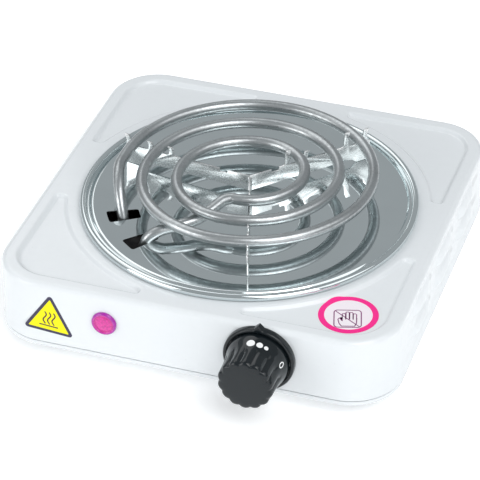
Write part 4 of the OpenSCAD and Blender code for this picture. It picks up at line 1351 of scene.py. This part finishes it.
class HOTPLATE_OT_labels(bpy.types.Operator):
    """Make the hot surface triangle and the round do-not-touch label"""
    bl_idname = "hotplate.labels"
    bl_label = "Labels"

    def execute(self, context):
        settings = context.scene.hot_plate
        self.hot_surface(settings.labels)
        self.do_not_touch(settings.casing, settings.labels)
        return {"FINISHED"}

    def hot_surface(self, labels):
        low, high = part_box("heat_label")
        origin = Vector((HEAT_LABEL.x, 0, low.z + (high.z - low.z) / 3))
        to_row = on_front(origin, labels.triangle_turn)
        radius = labels.triangle_side / math.sqrt(3)
        parts = [(*prism(rounded_triangle(radius, mm(1.6)), 0, LABEL_THIN, to_row), 0),
                 (*prism(rounded_triangle(radius - mm(3.5), mm(0.35)), LABEL_THIN * 0.5,
                         LABEL_MARK * 0.85, to_row), 1)]
        wave_high, wave_low = mm(4.8), mm(-3.0)
        for k in (-1, 0, 1):
            path = []
            for s in range(21):
                t = s / 20
                v = wave_low + (wave_high - wave_low) * t
                u = k * mm(2.6) + mm(0.1) + mm(0.85) * math.sin(-math.tau * 1.05 * t + 0.4)
                path.append((u, v))
            parts.append((*prism(stroke(path, mm(0.75)), LABEL_THIN, LABEL_MARK, to_row), 2))
        bar = [(mm(-5.2), mm(-4.3)), (mm(5.2), mm(-4.3))]
        parts.append((*prism(stroke(bar, mm(0.75)), LABEL_THIN, LABEL_MARK, to_row), 2))
        points, faces, indices = joined(parts)
        border = vinyl("label_border", (0.075, 0.07, 0.115))
        label = piece("hot_surface_label", points, faces,
                      [border, vinyl("label_yellow", labels.yellow),
                       vinyl("label_violet", labels.violet)], indices, sharp=30)
        place(label, "casing", "label_yellow", "heat_label")

    def do_not_touch(self, casing, labels):
        centre = TOUCH_LABEL - Vector((labels.round_shift, labels.round_shift / 3, 0))
        c, s = math.cos(labels.round_turn), math.sin(labels.round_turn)

        def to_row(u, v, w):
            x, y = centre.x + u * c - v * s, centre.y + u * s + v * c
            level = -panel_outside(casing, abs(x), abs(y - CASING.y))
            return (x, y, PLATE_Z - panel_drop(casing, float(level)) + mm(0.02) + w)

        r, inner = labels.round_radius, labels.round_radius - mm(3.3)
        thin, mark = LABEL_THIN, LABEL_MARK
        radii = [r * k / 14 for k in range(1, 12)] + [inner, r - mm(2), r - mm(1), r]
        profile = [(0, 0)] + [(x, 0) for x in radii] + [(x, thin) for x in reversed(radii)]
        points, faces = lathe(profile + [(0, thin)], 96,
                              lambda a, x, w: (x * math.cos(a), x * math.sin(a), w))
        indices = []
        for face in faces:
            away = min(math.hypot(points[i][0], points[i][1]) for i in face)
            indices.append(0 if away > inner - mm(0.01) else 1)
        points = [to_row(*point) for point in points]
        parts = [(points, outward(points, faces), indices)]
        square = Vector((mm(-0.4), mm(-3.5)))
        wide, tall, corner, line = mm(7.6), mm(7.9), mm(2.4), mm(0.55)
        outer = [(x + square.x, y + square.y)
                 for x, y in rounded_loop(wide, tall, corner, steps=6)]
        hollow = [(x + square.x, y + square.y)
                  for x, y in rounded_loop(wide - line, tall - line, corner - line, steps=6)]
        parts.append((*band(outer, hollow, thin, mark, to_row), 2))
        lines = [[(-6.4, 6.6), (6.2, -6.8)],
                 [(-3.4, -6.6), (-4.6, -4.2), (-5.2, -0.8), (-4.7, 0.3), (-3.9, 0.0),
                  (-3.3, -1.6), (-2.9, -2.2), (-2.9, 1.2)],
                 [(4.9, 0.4), (4.8, -3.6), (3.8, -6.6)], [(-3.4, -6.6), (3.8, -6.6)]]
        for left, tip in ((-2.9, 4.6), (-0.9, 6.0), (1.1, 5.6), (3.0, 4.4)):
            lines.append([(left, -0.4), (left, tip - 0.5), (left + 0.45, tip),
                          (left + 1.35, tip), (left + 1.8, tip - 0.5), (left + 1.8, -0.4)])
        for path in lines:
            shifted = [(mm(u) + square.x, mm(v) + square.y) for u, v in path]
            parts.append((*prism(stroke(shifted, mm(0.5)), thin, mark, to_row), 2))
        points, faces, indices = joined(parts)
        label = piece("do_not_touch_label", points, faces,
                      [vinyl("label_pink", labels.pink),
                       vinyl("label_paper", (0.93, 0.86, 0.91)),
                       vinyl("label_purple", (0.22, 0.03, 0.16))], indices, sharp=30)
        place(label, "casing", "label_pink", "touch_label")


# ---------------------------------------------------------------- finishes of frame nodes

class HOTPLATE_OT_finishes(bpy.types.Operator):
    """Give the frame's own pieces their finishes"""
    bl_idname = "hotplate.finishes"
    bl_label = "Finishes of the inner pieces"

    def execute(self, context):
        settings = context.scene.hot_plate
        zinc = zinc_steel()
        looks = {name: zinc for name in (
            "base_screws", "corner_brackets", "pan_stud", "bridge_bar",
            "pan_nut", "lead_bracket", "terminal_pins", "knob_clip", "thermostat_frame",
            "thermostat_screws", "bimetal_strip", "silver_contacts", "stack_rivet",
            "lens_clip", "saddle_screws", "earth_screw", "thermal_fuse", "fuse_clip")}
        looks.update({name: ceramic() for name in (
            "end_seals", "push_pin", "ceramic_stack", "cord_anchor", "cord_saddle",
            "terminal_block", "indicator_lamp")})
        looks.update({name: brass() for name in (
            "thermostat_spindle", "thermostat_bush", "terminal_screws", "earth_nut")})
        looks.update({"spring_blade": bronze(), "contact_arm": bronze()})
        looks["heat_shield"] = heat_stained_steel()
        gland = moulded_black(settings, "gland_black", 0.35, 0.5)
        looks.update({"cord_gland": gland, "gland_nut": gland})
        looks["wire_live"] = insulation("wire_brown", (0.28, 0.12, 0.05))
        looks["wire_switched"] = looks["wire_live"]
        looks["wire_neutral"] = insulation("wire_blue", (0.08, 0.18, 0.50))
        looks["wire_earth"] = insulation("wire_green", (0.35, 0.55, 0.10))
        looks["lamp_wires"] = insulation("wire_grey", (0.30, 0.30, 0.30))
        for name, material in looks.items():
            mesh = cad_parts[name].data
            mesh.materials.clear()
            mesh.materials.append(material)
        return {"FINISHED"}


# ---------------------------------------------------------------- stage

def area_light(name, spot, aim, size, power):
    """A soft box that faces its aim point."""
    data = bpy.data.lights.new(name, "AREA")
    data.shape = "SQUARE"
    data.size = size
    data.energy = power
    light = bpy.data.objects.new(name, data)
    light.location = spot
    light.rotation_mode = "QUATERNION"
    light.rotation_quaternion = (Vector(aim) - Vector(spot)).to_track_quat("-Z", "Y")
    bpy.context.scene.collection.objects.link(light)


class HOTPLATE_OT_stage(bpy.types.Operator):
    """Set up the camera, the pale floor and the soft lights"""
    bl_idname = "hotplate.stage"
    bl_label = "Stage"
    LIGHT_AWAY = 1.9
    LIGHT_SIZE = 1.1
    LIGHT_AIM = (0, 0, 0.03)
    SKY_STRENGTH = 0.43

    def execute(self, context):
        stage = context.scene.hot_plate.stage
        self.camera(context, stage)
        self.floor(context, stage)
        self.lights(context)
        return {"FINISHED"}

    def camera(self, context, stage):
        az, el, roll = stage.azimuth, stage.elevation, stage.roll
        back = Vector((math.sin(az) * math.cos(el), -math.cos(az) * math.cos(el),
                       math.sin(el)))
        right = Vector((0, 0, 1)).cross(back).normalized()
        up = back.cross(right)
        turned_right = right * math.cos(roll) - up * math.sin(roll)
        turned_up = up * math.cos(roll) + right * math.sin(roll)
        aim = Vector((CASING.x, CASING.y, PLATE_Z))
        aim -= turned_right * stage.aim_left + turned_up * stage.aim_down
        data = bpy.data.cameras.new("Camera")
        data.lens = stage.lens
        data.sensor_width = 36
        data.clip_start = 0.05
        data.clip_end = 20
        camera = bpy.data.objects.new("Camera", data)
        camera.location = aim + back * stage.distance
        camera.rotation_mode = "QUATERNION"
        look = (-back).to_track_quat("-Z", "Y").to_matrix()
        look.col[0], look.col[1], look.col[2] = turned_right, turned_up, back
        camera.rotation_quaternion = look.to_quaternion()
        context.scene.collection.objects.link(camera)
        context.scene.camera = camera

    def floor(self, context, stage):
        far = 3.0
        floor = piece("floor", [(-far, -far, 0), (far, -far, 0), (far, far, 0), (-far, far, 0)],
                      [(0, 1, 2, 3)],
                      finish("floor_paper", stage.floor, shade(stage.floor, 0.985), scale=4,
                             smooth=0.7, rough=0.9, relief=0.02, Specular_IOR_Level=0.0,
                             Emission_Color=(1, 1, 1, 1), Emission_Strength=0.27))

    def lights(self, context):
        world = bpy.data.worlds.new("World")
        world.use_nodes = True
        world.node_tree.nodes["Background"].inputs["Color"].default_value = (0.93, 0.97, 1, 1)
        world.node_tree.nodes["Background"].inputs["Strength"].default_value = self.SKY_STRENGTH
        context.scene.world = world
        for name, around, up, power in (
                ("front_right_low", 45, 20, 3.7), ("front_right_high", 45, 50, 12.5),
                ("right_high", 90, 50, 3.8), ("back_left_high", 225, 50, 4.1),
                ("left_high", 270, 50, 2.4), ("front_left_low", 315, 20, 9.5)):
            around, up = math.radians(around), math.radians(up)
            spot = (self.LIGHT_AWAY * math.sin(around) * math.cos(up),
                    -self.LIGHT_AWAY * math.cos(around) * math.cos(up),
                    self.LIGHT_AWAY * math.sin(up))
            area_light(name, spot, self.LIGHT_AIM, self.LIGHT_SIZE, power)
        context.scene.view_settings.view_transform = "Standard"


# ---------------------------------------------------------------- panel and main

PIECES = (HOTPLATE_OT_stage, HOTPLATE_OT_casing, HOTPLATE_OT_tray, HOTPLATE_OT_pan,
          HOTPLATE_OT_element, HOTPLATE_OT_rest, HOTPLATE_OT_knob, HOTPLATE_OT_lamp,
          HOTPLATE_OT_labels, HOTPLATE_OT_finishes)


class HOTPLATE_PT_panel(bpy.types.Panel):
    """Lists the hot plate's pieces"""
    bl_idname = "HOTPLATE_PT_panel"
    bl_label = "Hot Plate"
    bl_space_type = "VIEW_3D"
    bl_region_type = "UI"
    bl_category = "Hot Plate"

    def draw(self, context):
        for operator in PIECES:
            self.layout.operator(operator.bl_idname)


GROUPS = (CasingSettings, PanSettings, ElementSettings, RestSettings, KnobSettings,
          LampSettings, LabelSettings, StageSettings, HotPlateSettings)


def register():
    for group in (*GROUPS, *PIECES, HOTPLATE_PT_panel):
        bpy.utils.register_class(group)
    bpy.types.Scene.hot_plate = PointerProperty(type=HotPlateSettings)


def unregister():
    del bpy.types.Scene.hot_plate
    for group in reversed((*GROUPS, *PIECES, HOTPLATE_PT_panel)):
        bpy.utils.unregister_class(group)


def main():
    register()
    bpy.ops.hotplate.stage()
    bpy.ops.hotplate.casing()
    bpy.ops.hotplate.tray()
    bpy.ops.hotplate.pan()
    bpy.ops.hotplate.element()
    bpy.ops.hotplate.rest()
    bpy.ops.hotplate.knob()
    bpy.ops.hotplate.lamp()
    bpy.ops.hotplate.labels()
    bpy.ops.hotplate.finishes()


if __name__ == "__main__":
    main()
